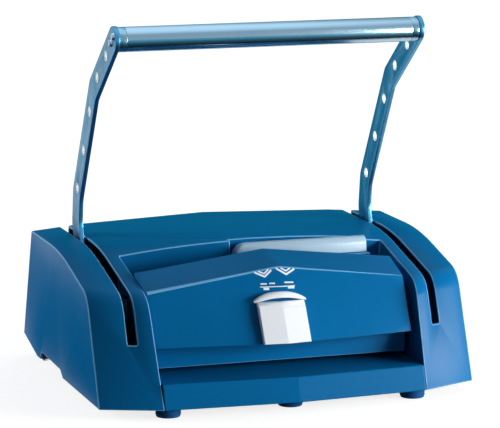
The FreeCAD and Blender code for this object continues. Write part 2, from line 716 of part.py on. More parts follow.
def make_base_plate():
    """Folded steel base: a flat sheet with its rear turned up to meet the back of the housing."""
    half = BASE_HALF
    z = BODY_BOTTOM_Z
    sheet = base_outline(0.0)
    tail_sections = []
    for x in (-half, 0.0, half):
        keel = tail_y(x) - TAIL_LENGTH
        end = tail_y(x) - WALL - 3.0
        rise = TAIL_RISE * (end - keel) / TAIL_LENGTH
        outline = [(keel, z), (end, z + rise), (end, z + rise + BASE_THICK), (keel, z + BASE_THICK)]
        tail_sections.append(rounded_wire(x, outline, [0] * 4))
    base = union([sheet, ruled(tail_sections)])
    holes = []
    for x, y in foot_places() + cover_boss_places() + frame_screw_places(-1) + frame_screw_places(1):
        holes.append(rod((x, y, z - 1.0), (0, 0, 1), SCREW_RADIUS, BASE_THICK + 2.0))
    for side in SIDES:
        inner = side * (half - GRIP_DEPTH)
        outer = side * (half + 5.0)
        holes.append(box(min(inner, outer), max(inner, outer), GRIP_NOTCH_Y - 4.0,
                         GRIP_NOTCH_Y + GRIP_NOTCH_LENGTH + 4.0, z - 1.0, z + BASE_THICK + 1.0))
    return drilled(base, holes)


def cover_boss_places():
    """Screw bosses inside the side walls of the cover."""
    x = BODY_HALF_WIDTH - WALL - 5.0
    return [(side * x, y) for side in SIDES for y in COVER_BOSS_YS]


def make_cover_screws():
    """Screws through the base into the cover's bosses."""
    screws = [screw((x, y, BODY_BOTTOM_Z), (0, 0, 1), 12.0) for x, y in cover_boss_places()]
    return Part.makeCompound(screws)


def hood_screw_places():
    """Screws through the hood's deck into the fixed jaw."""
    return [(side * (HOOD_HALF - HOOD_SCREW_INSET), SLOT_FRONT_Y - HOOD_SCREW_BACK) for side in SIDES]


def make_hood_screws():
    """Two screws that hold the hood on the fixed jaw."""
    screws = [screw((x, y, HOOD_DECK_Z), (0, 0, -1), 10.0) for x, y in hood_screw_places()]
    return Part.makeCompound(screws)


def foot_places():
    """Where the rubber feet stand."""
    return [(-FOOT_X, FOOT_FRONT_Y), (0.0, FOOT_MIDDLE_Y), (FOOT_X, FOOT_FRONT_Y),
            (-FOOT_X, FOOT_REAR_Y), (FOOT_X, FOOT_REAR_Y)]


def make_foot(x, y):
    """Rubber foot, a little wider at the top, with a hole for its screw."""
    z = BODY_BOTTOM_Z - FOOT_HEIGHT
    cone = Part.makeCone(FOOT_RADIUS - 1.2, FOOT_RADIUS, FOOT_HEIGHT, V(x, y, z), V(0, 0, 1))
    bore = rod((x, y, z - 1.0), (0, 0, 1), SCREW_RADIUS, FOOT_HEIGHT + 2.0)
    sink = rod((x, y, z - 1.0), (0, 0, 1), SCREW_HEAD_RADIUS + 1.0, FOOT_HEIGHT - FOOT_SEAT + 1.0)
    return drilled(cone, [bore, sink])


def make_fixed_jaw():
    """Front jaw: a hardened bar screwed between the side frames."""
    half = FRAME_MID_X - 0.5 * FRAME_THICK
    bar = box(-half, half, BEAM_FRONT_Y, SLOT_FRONT_Y, JAW_BOTTOM_Z - BEAM_DROP, JAW_TOP_Z)
    lip = box(-half, half, SLOT_FRONT_Y - 6.0, SLOT_FRONT_Y + 1.0, JAW_BOTTOM_Z + 2.0, JAW_BOTTOM_Z + 12.0)
    holes = [rod((x, y, JAW_TOP_Z - 10.0), (0, 0, 1), SCREW_RADIUS, 11.0) for x, y in hood_screw_places()]
    return drilled(bar, [lip] + holes)


def make_jaw_insert():
    """Replaceable grooved strip that bites the spine channel."""
    half = FRAME_MID_X - 0.5 * FRAME_THICK - 10.0
    strip = box(-half, half, SLOT_FRONT_Y - 6.0, SLOT_FRONT_Y - 0.5, JAW_BOTTOM_Z + 2.0, JAW_BOTTOM_Z + 12.0)
    groove = box(-half - 1.0, half + 1.0, SLOT_FRONT_Y - 2.0, SLOT_FRONT_Y, JAW_BOTTOM_Z + 6.0, JAW_BOTTOM_Z + 8.0)
    return strip.cut(groove)


def make_spine_rest():
    """Floor of the binding slot, on which the spine channel stands."""
    half = FRAME_MID_X - 0.5 * FRAME_THICK
    top_z = JAW_BOTTOM_Z - 0.5
    thick = SPINE_REST_THICK
    floor = box(-half, half, SLOT_FRONT_Y, SLOT_REAR_Y + 1.0, top_z - thick, top_z)
    web = box(-half, half, SLOT_FRONT_Y, SLOT_FRONT_Y + thick, top_z - SPINE_REST_DEPTH, top_z - 0.5 * thick)
    return union([floor, web])


def make_rear_tie_bar():
    """Round bar that keeps the side frames apart at the rear."""
    half = FRAME_MID_X - 0.5 * FRAME_THICK
    start = (-half, PIVOT_Y + TIE_BAR_BACK, PIVOT_Z - TIE_BAR_DROP)
    return rod(start, (1, 0, 0), TIE_BAR_RADIUS, 2 * half)


# Handle


def arm_centre_line():
    """Middle line of an arm from the pivot to the grip, each point as (Y, Z)."""
    return [(PIVOT_Y, PIVOT_Z), (ARM_KNEE_Y + 5.0, ARM_KNEE_Z - 36.0), (ARM_KNEE_Y, ARM_KNEE_Z),
            (ARM_ELBOW_Y, ARM_ELBOW_Z), (GRIP_Y, GRIP_Z)]


def offset_line(points, distance):
    """Line at one side of another, with its corners mitred."""
    result = []
    for i in range(len(points)):
        before = points[max(i - 1, 0)]
        here = points[i]
        after = points[min(i + 1, len(points) - 1)]
        normals = []
        for a, b in ((before, here), (here, after)):
            length = math.hypot(b[0] - a[0], b[1] - a[1])
            if length > 0:
                normals.append((-(b[1] - a[1]) / length, (b[0] - a[0]) / length))
        ny = sum(n[0] for n in normals) / len(normals)
        nz = sum(n[1] for n in normals) / len(normals)
        scale = distance / (ny * ny + nz * nz)
        result.append((here[0] + ny * scale, here[1] + nz * scale))
    return result


def arm_hole_places():
    """Round holes along the arm: one by each bend and the rest evenly between."""
    knee = (ARM_KNEE_Y - 6.5, ARM_KNEE_Z + 8.5)
    elbow = (ARM_ELBOW_Y + 13.0, ARM_ELBOW_Z - 27.0)
    middle = (blend(knee[0], elbow[0], 0.5), blend(knee[1], elbow[1], 0.5))
    upper = (ARM_ELBOW_Y - 22.0, ARM_ELBOW_Z + 17.5)
    last = (ARM_ELBOW_Y - 61.0, ARM_ELBOW_Z + 46.5)
    return [knee, middle, elbow, upper, last]


def make_arm(side):
    """Flat steel arm with two bends, a round end at the grip and a round foot at the pivot."""
    line = arm_centre_line()
    left = offset_line(line, 0.5 * ARM_WIDTH)
    right = offset_line(line, -0.5 * ARM_WIDTH)
    outline = left + right[::-1]
    radii = [0, 30.0, 24.0, 16.0, 0, 0, 16.0, 24.0, 30.0, 0]
    x0 = side * ARM_MID_X - 0.5 * ARM_THICK
    bar = plate(x0, x0 + ARM_THICK, outline, radii)
    foot = rod((x0, PIVOT_Y, PIVOT_Z), (1, 0, 0), HUB_RADIUS, ARM_THICK)
    head = rod((x0, GRIP_Y, GRIP_Z), (1, 0, 0), 0.5 * ARM_WIDTH, ARM_THICK)
    arm = union([bar, foot, head])
    holes = [rod((x0 - 1.0, y, z), (1, 0, 0), ARM_HOLE_RADIUS, ARM_THICK + 2.0)
             for y, z in arm_hole_places()]
    holes.append(rod((x0 - 1.0, PIVOT_Y, PIVOT_Z), (1, 0, 0), SHAFT_RADIUS, ARM_THICK + 2.0))
    for y, z in grip_screw_places():
        holes.append(rod((x0 - 1.0, y, z), (1, 0, 0), SCREW_RADIUS, ARM_THICK + 2.0))
    return drilled(arm, holes)


def grip_screw_places():
    """Two screws through each arm into the grip's end plug."""
    reach = 7.0
    length = math.hypot(ARM_ELBOW_Y - GRIP_Y, ARM_ELBOW_Z - GRIP_Z)
    dy = (ARM_ELBOW_Y - GRIP_Y) / length * reach
    dz = (ARM_ELBOW_Z - GRIP_Z) / length * reach
    return [(GRIP_Y + dy, GRIP_Z + dz), (GRIP_Y - dy, GRIP_Z - dz)]


GRIP_HALF = ARM_MID_X - 0.5 * ARM_THICK


def make_grip_tube():
    """Aluminium tube between the collars."""
    half = GRIP_HALF - GRIP_COLLAR
    return tube((-half, GRIP_Y, GRIP_Z), (1, 0, 0), GRIP_RADIUS, GRIP_RADIUS - GRIP_WALL, 2 * half)


def make_grip_collar():
    """End collar of the grip: a plug in the tube and a ring of the tube's own size."""
    ring = rod((GRIP_HALF - GRIP_COLLAR, GRIP_Y, GRIP_Z), (1, 0, 0), GRIP_RADIUS, GRIP_COLLAR)
    plug = rod((GRIP_HALF - GRIP_COLLAR - 14.0, GRIP_Y, GRIP_Z), (1, 0, 0),
               GRIP_RADIUS - GRIP_WALL, 14.0)
    collar = ring.fuse(plug).removeSplitter()
    holes = [rod((GRIP_HALF - 16.0, y, z), (1, 0, 0), SCREW_RADIUS, 18.0)
             for y, z in grip_screw_places()]
    return drilled(collar, holes)


def make_grip_screws():
    """Screws that hold both collars to the arms."""
    screws = []
    for side in SIDES:
        outer = side * (ARM_MID_X + 0.5 * ARM_THICK)
        for y, z in grip_screw_places():
            screws.append(screw((outer, y, z), (-side, 0, 0), 16.0))
    return Part.makeCompound(screws)


SHAFT_HALF = ARM_MID_X + 0.5 * ARM_THICK + 6.0


def make_pivot_shaft():
    """Shaft that joins both arms and carries the cams."""
    return rod((-SHAFT_HALF, PIVOT_Y, PIVOT_Z), (1, 0, 0), SHAFT_RADIUS, 2 * SHAFT_HALF)


def make_arm_hub():
    """Welded hub between the arm and the side frame."""
    inner = FRAME_MID_X + 0.5 * FRAME_THICK + 2.2
    outer = ARM_MID_X - 0.5 * ARM_THICK
    return tube((inner, PIVOT_Y, PIVOT_Z), (1, 0, 0), HUB_RADIUS - 4.0, SHAFT_RADIUS, outer - inner)


def make_shaft_nut():
    """Hexagon nut on the end of the shaft."""
    x0 = ARM_MID_X + 0.5 * ARM_THICK
    corners = []
    for k in range(7):
        a = math.radians(60.0 * k)
        corners.append(V(x0, PIVOT_Y + 13.0 * math.cos(a), PIVOT_Z + 13.0 * math.sin(a)))
    nut = Part.Face(Part.makePolygon(corners)).extrude(V(5.0, 0, 0))
    return nut.cut(rod((x0 - 1.0, PIVOT_Y, PIVOT_Z), (1, 0, 0), SHAFT_RADIUS, 8.0))


def make_shaft_bush():
    """Flanged bronze bush in the side frame."""
    x0 = FRAME_MID_X - 0.5 * FRAME_THICK
    body = rod((x0 - 2.0, PIVOT_Y, PIVOT_Z), (1, 0, 0), BUSH_RADIUS, FRAME_THICK + 2.0)
    flange = rod((x0 - 2.0, PIVOT_Y, PIVOT_Z), (1, 0, 0), BUSH_RADIUS + 3.0, 2.0)
    bore = rod((x0 - 3.0, PIVOT_Y, PIVOT_Z), (1, 0, 0), SHAFT_RADIUS + RUNNING_GAP, FRAME_THICK + 6.0)
    return body.fuse(flange).removeSplitter().cut(bore)


def make_cam():
    """Spiral cam: each degree of handle swing moves the follower by the same amount."""
    gap = ROLLER_RADIUS + RUNNING_GAP
    points = []
    lead = math.radians(12.0)
    steps = 16
    for k in range(steps + 1):
        a = blend(-lead, HANDLE_SWING + lead, k / steps)
        pitch = CAM_PITCH_RADIUS + CAM_RATE * a
        tilt = math.atan2(CAM_RATE, pitch)
        y = -pitch * math.cos(a) + gap * math.cos(a - tilt)
        z = pitch * math.sin(a) - gap * math.sin(a - tilt)
        points.append(V(CAM_X - 0.5 * CAM_WIDTH, PIVOT_Y + y, PIVOT_Z + z))
    curve = Part.BSplineCurve()
    curve.interpolate(points)
    back_y = PIVOT_Y + 16.0
    back = Part.Arc(points[-1], V(points[0].x, back_y, PIVOT_Z + 8.0), points[0]).toShape()
    disc = Part.Face(Part.Wire([curve.toShape(), back])).extrude(V(CAM_WIDTH, 0, 0))
    bore = rod((CAM_X - CAM_WIDTH, PIVOT_Y, PIVOT_Z), (1, 0, 0), SHAFT_RADIUS, 2 * CAM_WIDTH)
    return disc.cut(bore)


def make_cam_collar():
    """Set collar that fixes each cam along the shaft."""
    return tube((CAM_X + 0.5 * CAM_WIDTH, PIVOT_Y, PIVOT_Z), (1, 0, 0), 13.0, SHAFT_RADIUS, 8.0)


# Moving jaw


ROLLER_Y = PIVOT_Y - CAM_PITCH_RADIUS
EAR_GAP = 1.0
EAR_THICK = 5.0
JAW_HALF = FRAME_MID_X - 0.5 * FRAME_THICK - 1.0


def make_moving_jaw():
    """Rear jaw: a bar with two forks that carry the cam followers."""
    bar = box(-JAW_HALF, JAW_HALF, SLOT_REAR_Y, SLOT_REAR_Y + JAW_THICK, JAW_BOTTOM_Z, JAW_TOP_Z)
    outline = [
        (SLOT_REAR_Y + 14.0, JAW_TOP_Z - 8.0),
        (SLOT_REAR_Y + 14.0, PIVOT_Z - 6.0),
        (ROLLER_Y, PIVOT_Z - 9.0),
        (ROLLER_Y + 8.0, PIVOT_Z - 7.0),
        (ROLLER_Y + 8.0, PIVOT_Z + 7.0),
        (SLOT_REAR_Y + 34.0, JAW_TOP_Z - 8.0),
    ]
    pieces = [bar]
    for side in SIDES:
        for edge in SIDES:
            inner = side * CAM_X + edge * (0.5 * CAM_WIDTH + EAR_GAP)
            outer = inner + edge * EAR_THICK
            pieces.append(plate(min(inner, outer), max(inner, outer), outline, [0, 0, 3.0, 4.0, 4.0, 0]))
    jaw = union(pieces)
    cuts = []
    for side in SIDES:
        start = side * CAM_X - 0.5 * CAM_WIDTH - 10.0
        cuts.append(rod((start, ROLLER_Y, PIVOT_Z), (1, 0, 0), ROLLER_PIN_RADIUS, CAM_WIDTH + 20.0))
        end_x = side * JAW_HALF
        for z in GUIDE_PIN_ZS:
            cuts.append(rod((min(end_x, end_x - side * 12.0), SLOT_REAR_Y + 0.5 * JAW_THICK, z),
                            (1, 0, 0), GUIDE_PIN_RADIUS, 12.0))
    for x in (-60.0, 0.0, 60.0):
        cuts.append(box(x - 20.0, x + 20.0, SLOT_REAR_Y + 8.0, SLOT_REAR_Y + JAW_THICK + 1.0,
                        JAW_BOTTOM_Z + 10.0, JAW_TOP_Z - 8.0))
    return drilled(jaw, cuts)


def make_guide_pins():
    """Four pins in the ends of the moving jaw that run in the side frames' slots."""
    pins = []
    for z in GUIDE_PIN_ZS:
        pin = rod((JAW_HALF - 12.0, SLOT_REAR_Y + 0.5 * JAW_THICK, z), (1, 0, 0),
                  GUIDE_PIN_RADIUS, 12.0 + FRAME_THICK + 1.6)
        pins += [pin, mirrored(pin)]
    return Part.makeCompound(pins)


def make_cam_followers():
    """Rollers between the forks."""
    roller = tube((CAM_X - 0.5 * CAM_WIDTH, ROLLER_Y, PIVOT_Z), (1, 0, 0),
                  ROLLER_RADIUS, ROLLER_PIN_RADIUS, CAM_WIDTH)
    return pair(roller)


def make_follower_pins():
    """Pins that hold the rollers in their forks."""
    reach = 0.5 * CAM_WIDTH + EAR_GAP + EAR_THICK
    return pair(rod((CAM_X - reach, ROLLER_Y, PIVOT_Z), (1, 0, 0), ROLLER_PIN_RADIUS, 2 * reach))


def make_jaw_spring():
    """Compression spring between the jaws, drawn as its plain outer sleeve."""
    x = SLOT_HALF_LENGTH + 6.0
    z = 0.5 * (JAW_BOTTOM_Z + JAW_TOP_Z)
    return tube((x, SLOT_FRONT_Y, z), (0, 1, 0), 5.0, 3.6, SLOT_WIDTH)


# Loose tool and small fasteners


TOOL_RADIUS = 9.0
TOOL_LEFT_X = POCKET_LEFT_X + 3.0
TOOL_RIGHT_X = POCKET_RIGHT_X - 3.0
TOOL_Y = POCKET_REAR_Y - 11.0


def make_opening_tool():
    """Half-round tool that lies in its pocket; its left end curves down."""
    z0 = SHELF_Z + 0.3
    top = z0 + 18.5
    outline = [
        (TOOL_Y - TOOL_RADIUS, z0), (TOOL_Y - TOOL_RADIUS, top),
        (TOOL_Y + TOOL_RADIUS, top), (TOOL_Y + TOOL_RADIUS, z0),
    ]
    bar = plate(TOOL_LEFT_X, TOOL_RIGHT_X, outline, [0, TOOL_RADIUS - 0.5, TOOL_RADIUS - 0.5, 0])
    sweep = 17.0
    y0 = TOOL_Y - TOOL_RADIUS - 1.0
    depth = 2 * TOOL_RADIUS + 2.0
    corner = box(TOOL_LEFT_X - 1.0, TOOL_LEFT_X + sweep, y0, y0 + depth, top - sweep, top + 1.0)
    round_off = rod((TOOL_LEFT_X + sweep, y0, top - sweep), (0, 1, 0), sweep, depth)
    return bar.cut(corner.cut(round_off))


def make_foot_screws():
    """Screws through the feet into the base."""
    screws = []
    for x, y in foot_places():
        screws.append(screw((x, y, BODY_BOTTOM_Z - FOOT_SEAT), (0, 0, 1), FOOT_SEAT + BASE_THICK + 3.0))
    return Part.makeCompound(screws)


def make_frame_screws():
    """Screws through the side frames' flanges into the base."""
    screws = []
    for side in SIDES:
        for x, y in frame_screw_places(side):
            start = (x, y, FRAME_BOTTOM_Z + FRAME_THICK)
            screws.append(screw(start, (0, 0, -1), FRAME_THICK + BASE_THICK))
    return Part.makeCompound(screws)


PIECES = {
    "main_cover": make_main_cover,
    "front_tray": make_front_tray,
    "hood": make_hood,
    "hood_apron": make_hood_apron,
    "base_plate": make_base_plate,
    "left_side_frame": lambda: mirrored(make_side_frame()),
    "right_side_frame": make_side_frame,
    "fixed_jaw": make_fixed_jaw,
    "jaw_insert": make_jaw_insert,
    "spine_rest": make_spine_rest,
    "rear_tie_bar": make_rear_tie_bar,
    "stop_pins": lambda: pair(make_stop_pin()),
    "stop_sleeves": lambda: pair(make_stop_sleeve()),
    "shaft_bushes": lambda: pair(make_shaft_bush()),
    "selector_knob": make_selector_knob,
    "selector_stem": make_selector_stem,
    "selector_slide": make_selector_slide,
    "selector_rails": make_selector_rails,
    "left_arm": lambda: make_arm(-1),
    "right_arm": lambda: make_arm(1),
    "grip_tube": make_grip_tube,
    "grip_collars": lambda: pair(make_grip_collar()),
    "grip_screws": make_grip_screws,
    "pivot_shaft": make_pivot_shaft,
    "arm_hubs": lambda: pair(make_arm_hub()),
    "shaft_nuts": lambda: pair(make_shaft_nut()),
    "left_cam": lambda: mirrored(make_cam()),
    "right_cam": make_cam,
    "cam_collars": lambda: pair(make_cam_collar()),
    "moving_jaw": make_moving_jaw,
    "jaw_guide_pins": make_guide_pins,
    "cam_followers": make_cam_followers,
    "follower_pins": make_follower_pins,
    "jaw_springs": lambda: pair(make_jaw_spring()),
    "opening_tool": make_opening_tool,
    "rubber_feet": lambda: Part.makeCompound([make_foot(x, y) for x, y in foot_places()]),
    "foot_screws": make_foot_screws,
    "frame_screws": make_frame_screws,
    "cover_screws": make_cover_screws,
    "hood_screws": make_hood_screws,
}

for name, make in PIECES.items():
    piece = make()
    piece.translate(V(0, -CENTRE_Y, LIFT))
    piece.exportStep("parts/" + name + ".step")
    solids = piece.Solids
    volume = sum(s.Volume for s in solids)
    print(name, len(solids), "solids", round(volume), "mm3", "valid" if piece.isValid() else "INVALID")
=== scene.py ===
"""Desk press for metal spine channels, lever up: the finish of every piece around the fixed frame."""

import json
import logging
import math
from dataclasses import dataclass
from enum import Enum
from typing import Any, Sequence

import bmesh
import bpy
from mathutils import Euler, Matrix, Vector
from mathutils.bvhtree import BVHTree

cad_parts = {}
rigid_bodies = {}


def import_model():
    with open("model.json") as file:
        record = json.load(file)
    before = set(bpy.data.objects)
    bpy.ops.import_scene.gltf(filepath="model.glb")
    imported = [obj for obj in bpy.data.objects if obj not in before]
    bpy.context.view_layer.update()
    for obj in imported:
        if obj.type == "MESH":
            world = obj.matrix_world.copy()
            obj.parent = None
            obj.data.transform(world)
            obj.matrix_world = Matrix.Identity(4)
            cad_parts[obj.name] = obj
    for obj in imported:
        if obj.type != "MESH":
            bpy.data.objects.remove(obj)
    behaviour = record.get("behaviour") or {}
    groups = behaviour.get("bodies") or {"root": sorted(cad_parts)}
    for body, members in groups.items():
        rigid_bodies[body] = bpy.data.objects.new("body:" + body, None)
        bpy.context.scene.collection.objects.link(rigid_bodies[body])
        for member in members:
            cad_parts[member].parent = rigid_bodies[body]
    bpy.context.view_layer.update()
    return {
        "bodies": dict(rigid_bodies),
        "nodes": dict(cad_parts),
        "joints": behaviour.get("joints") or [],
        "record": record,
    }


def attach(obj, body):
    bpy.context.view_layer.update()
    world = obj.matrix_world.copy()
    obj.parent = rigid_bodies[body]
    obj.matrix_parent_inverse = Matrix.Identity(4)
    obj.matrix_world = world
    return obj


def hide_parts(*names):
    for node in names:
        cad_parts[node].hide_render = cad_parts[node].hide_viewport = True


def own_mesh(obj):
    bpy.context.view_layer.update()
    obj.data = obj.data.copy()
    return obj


LOG = logging.getLogger("press")
MM = 0.001
# The shift from the drawing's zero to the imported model's, in millimetres.
CENTRE_Y = 203.256
LIFT = 3.0
MERGE_MM = 0.002  # corners nearer than this are one
FLAT_DEGREES = 0.8  # slighter folds are flat
EDGE_DEGREES = 24.0  # sharper folds are edges, which get rounded
ROUND_STEPS = 3  # faces across a rounding
RELIEF = 0.6  # the strength of every pattern's relief
SMOOTHEST = 0.03  # the least roughness that a pattern may leave
WHITE = (1.0, 1.0, 1.0, 1.0)

Pair = tuple[float, float]
Place = tuple[float, float, float]


# Small helpers


def linear(hex_colour: str) -> tuple[float, float, float, float]:
    """Turn an sRGB hex colour into linear values.

    Args:
        hex_colour: six hex digits after a hash.

    Returns:
        Red, green, blue and alpha, ready for a shader socket.
    """
    parts = [int(hex_colour[i:i + 2], 16) / 255 for i in (1, 3, 5)]
    values = [c / 12.92 if c <= 0.04045 else ((c + 0.055) / 1.055) ** 2.4 for c in parts]
    return (*values, 1.0)


def add(
    tree: bpy.types.NodeTree,
    kind: str,
    settings: dict[str, Any] | None = None,
    values: dict[Any, Any] | None = None,
    links: dict[Any, bpy.types.NodeSocket] | None = None,
) -> bpy.types.Node:
    """Add one node to a tree.

    Args:
        tree: the tree that gets the node.
        kind: the node's type name.
        settings: properties of the node itself.
        values: default values by input name or number.
        links: sources by input name or number.

    Returns:
        The new node.
    """
    node = tree.nodes.new(kind)
    for name, value in (settings or {}).items():
        setattr(node, name, value)
    for name, value in (values or {}).items():
        node.inputs[name].default_value = value
    for name, source in (links or {}).items():
        tree.links.new(source, node.inputs[name])
    return node


def at(x: float, y: float, z: float) -> Vector:
    """Turn millimetres of the machine's drawing into a point of the scene.

    Args:
        x: distance to the right of the middle.
        y: distance behind the corner line of the front panel.
        z: height over the drawing's level, which is 8 mm under the housing.

    Returns:
        The point in metres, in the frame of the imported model.
    """
    return Vector((x, y - CENTRE_Y, z + LIFT)) * MM


def between(ends: Pair, share: float) -> float:
    """Give the value at a share of the way from the first of two values to the second."""
    return ends[0] + (ends[1] - ends[0]) * share


def cleared(owner: bpy.types.ID) -> bpy.types.NodeTree:
    """Empty the node tree of a material or of the world.

    Args:
        owner: what has the tree.

    Returns:
        The empty tree.
    """
    owner.use_nodes = True
    owner.node_tree.nodes.clear()
    return owner.node_tree


def mesh_object(name: str, mesh: bpy.types.Mesh) -> bpy.types.Object:
    """Put a mesh into the scene as an object at the origin.

    Args:
        name: the name of the object and its mesh.
        mesh: the mesh.

    Returns:
        The object.
    """
    mesh.name = name
    piece = bpy.data.objects.new(name, mesh)
    bpy.context.scene.collection.objects.link(piece)
    return piece


def settled(piece: bpy.types.Object) -> bpy.types.Object:
    """Bake an object's modifiers into its mesh and remove them.

    Args:
        piece: the object whose modifiers are final.

    Returns:
        The same object with a plain mesh.
    """
    graph = bpy.context.evaluated_depsgraph_get()
    graph.update()
    mesh = bpy.data.meshes.new_from_object(piece.evaluated_get(graph), depsgraph=graph)
    mesh.name = piece.name
    piece.modifiers.clear()
    piece.data = mesh
    return piece


def shade_by_angle(mesh: bpy.types.Mesh, degrees: float = 35.0) -> None:
    """Turn all faces outwards and shade them smooth, apart from the sharper folds.

    Args:
        mesh: the mesh that is changed.
        degrees: how far two faces turn before the edge between them stays sharp.
    """
    soft = bmesh.new()
    soft.from_mesh(mesh)
    bmesh.ops.recalc_face_normals(soft, faces=soft.faces)
    for face in soft.faces:
        face.smooth = True
    for edge in soft.edges:
        edge.smooth = len(edge.link_faces) == 2 and edge.calc_face_angle(0.0) < math.radians(degrees)
    soft.to_mesh(mesh)
    soft.free()


def lofted(name: str, sections: Sequence[Sequence[Vector]]) -> bpy.types.Object:
    """Skin a row of closed sections that have the same number of points, with both ends closed.

    Args:
        name: the name of the piece.
        sections: the closed sections, in order.

    Returns:
        The piece as one closed shell.
    """
    count = len(sections[0])
    last = (len(sections) - 1) * count
    points = [point for section in sections for point in section]
    faces: list[tuple[int, ...]] = [tuple(range(count)), tuple(range(last, last + count))]
    for start in range(0, last, count):
        for k in range(count):
            a, b = start + k, start + (k + 1) % count
            faces.append((a, b, b + count, a + count))
    mesh = bpy.data.meshes.new(name)
    mesh.from_pydata(points, [], faces)
    shade_by_angle(mesh)
    return mesh_object(name, mesh)


def joined(name: str, pieces: Sequence[bpy.types.Object]) -> bpy.types.Object:
    """Put the shells of several objects into one object.

    Args:
        name: the name of the new piece.
        pieces: the objects, which are removed.

    Returns:
        The new piece.
    """
    whole = bmesh.new()
    for piece in pieces:
        whole.from_mesh(piece.data)
        bpy.data.objects.remove(piece)
    mesh = bpy.data.meshes.new(name)
    whole.to_mesh(mesh)
    whole.free()
    return mesh_object(name, mesh)


def merged(node: bpy.types.Object) -> bmesh.types.BMesh:
    """Copy a frame node's loose triangles and join their corners.

    Args:
        node: an object of the frame, left as it is.

    Returns:
        The working copy, which the caller frees.
    """
    work = bmesh.new()
    work.from_mesh(node.data)
    bmesh.ops.remove_doubles(work, verts=work.verts, dist=MERGE_MM * MM)
    return work


def loose_boxes(node: bpy.types.Object) -> list[tuple[Vector, Vector]]:
    """Find the lowest and highest corner of each separate body in a node's mesh.

    Args:
        node: an object of the frame.

    Returns:
        One pair of corners for each body, from left to right and then from front to back.
    """
    work = merged(node)
    left = set(work.verts)
    found = []
    while left:
        group, queue = [], [left.pop()]
        while queue:
            vert = queue.pop()
            group.append(vert.co.copy())
            near = {edge.other_vert(vert) for edge in vert.link_edges} & left
            left -= near
            queue.extend(near)
        low = Vector([min(p[k] for p in group) for k in range(3)])
        high = Vector([max(p[k] for p in group) for k in range(3)])
        found.append((low, high))
    work.free()
    return sorted(found, key=lambda pair: tuple(pair[0]))


class Round(Enum):
    """How far an edge is rounded, in millimetres."""

    CRISP = 0.25
    MACHINED = 0.4
    MOULDED = 0.7
    SOFT = 1.2


def softened(node: bpy.types.Object, name: str, edge: Round, materials: Sequence[bpy.types.Material],
             clamp: bool = False, crisp: float | None = None) -> bpy.types.Object:
    """Copy a frame piece and round its edges.

    Args:
        node: the frame's own object, left as it is.
        name: the name of the copy.
        edge: how far the edges are rounded.
        materials: the material of the faces and, if there are two, that of the roundings, which paints a
            highlight on them.
        clamp: keep a rounding from running past its neighbours.
        crisp: the angle in degrees from which even a slight fold stays sharp, if it should.

    Returns:
        The copy, with rounded edges in its mesh.
    """
    work = merged(node)
    bmesh.ops.dissolve_limit(work, angle_limit=math.radians(FLAT_DEGREES), verts=work.verts,
                             edges=work.edges, delimit={"NORMAL"})
    mesh = bpy.data.meshes.new(name)
    work.to_mesh(mesh)
    work.free()
    mesh.materials.clear()
    for material in materials:
        mesh.materials.append(material)
    mesh.polygons.foreach_set("use_smooth", [True] * len(mesh.polygons))
    piece = mesh_object(name, mesh)
    bevel = piece.modifiers.new("edges", "BEVEL")
    bevel.limit_method = "ANGLE"
    bevel.angle_limit = math.radians(EDGE_DEGREES)
    bevel.width = edge.value * MM
    bevel.segments = ROUND_STEPS
    bevel.use_clamp_overlap = clamp
    bevel.material = len(materials) - 1
    bevel.harden_normals = crisp is None
    bevel.miter_outer = "MITER_ARC"
    settled(piece)
    if crisp is not None:
        shade_by_angle(piece.data, crisp)
    return piece


# Finishes


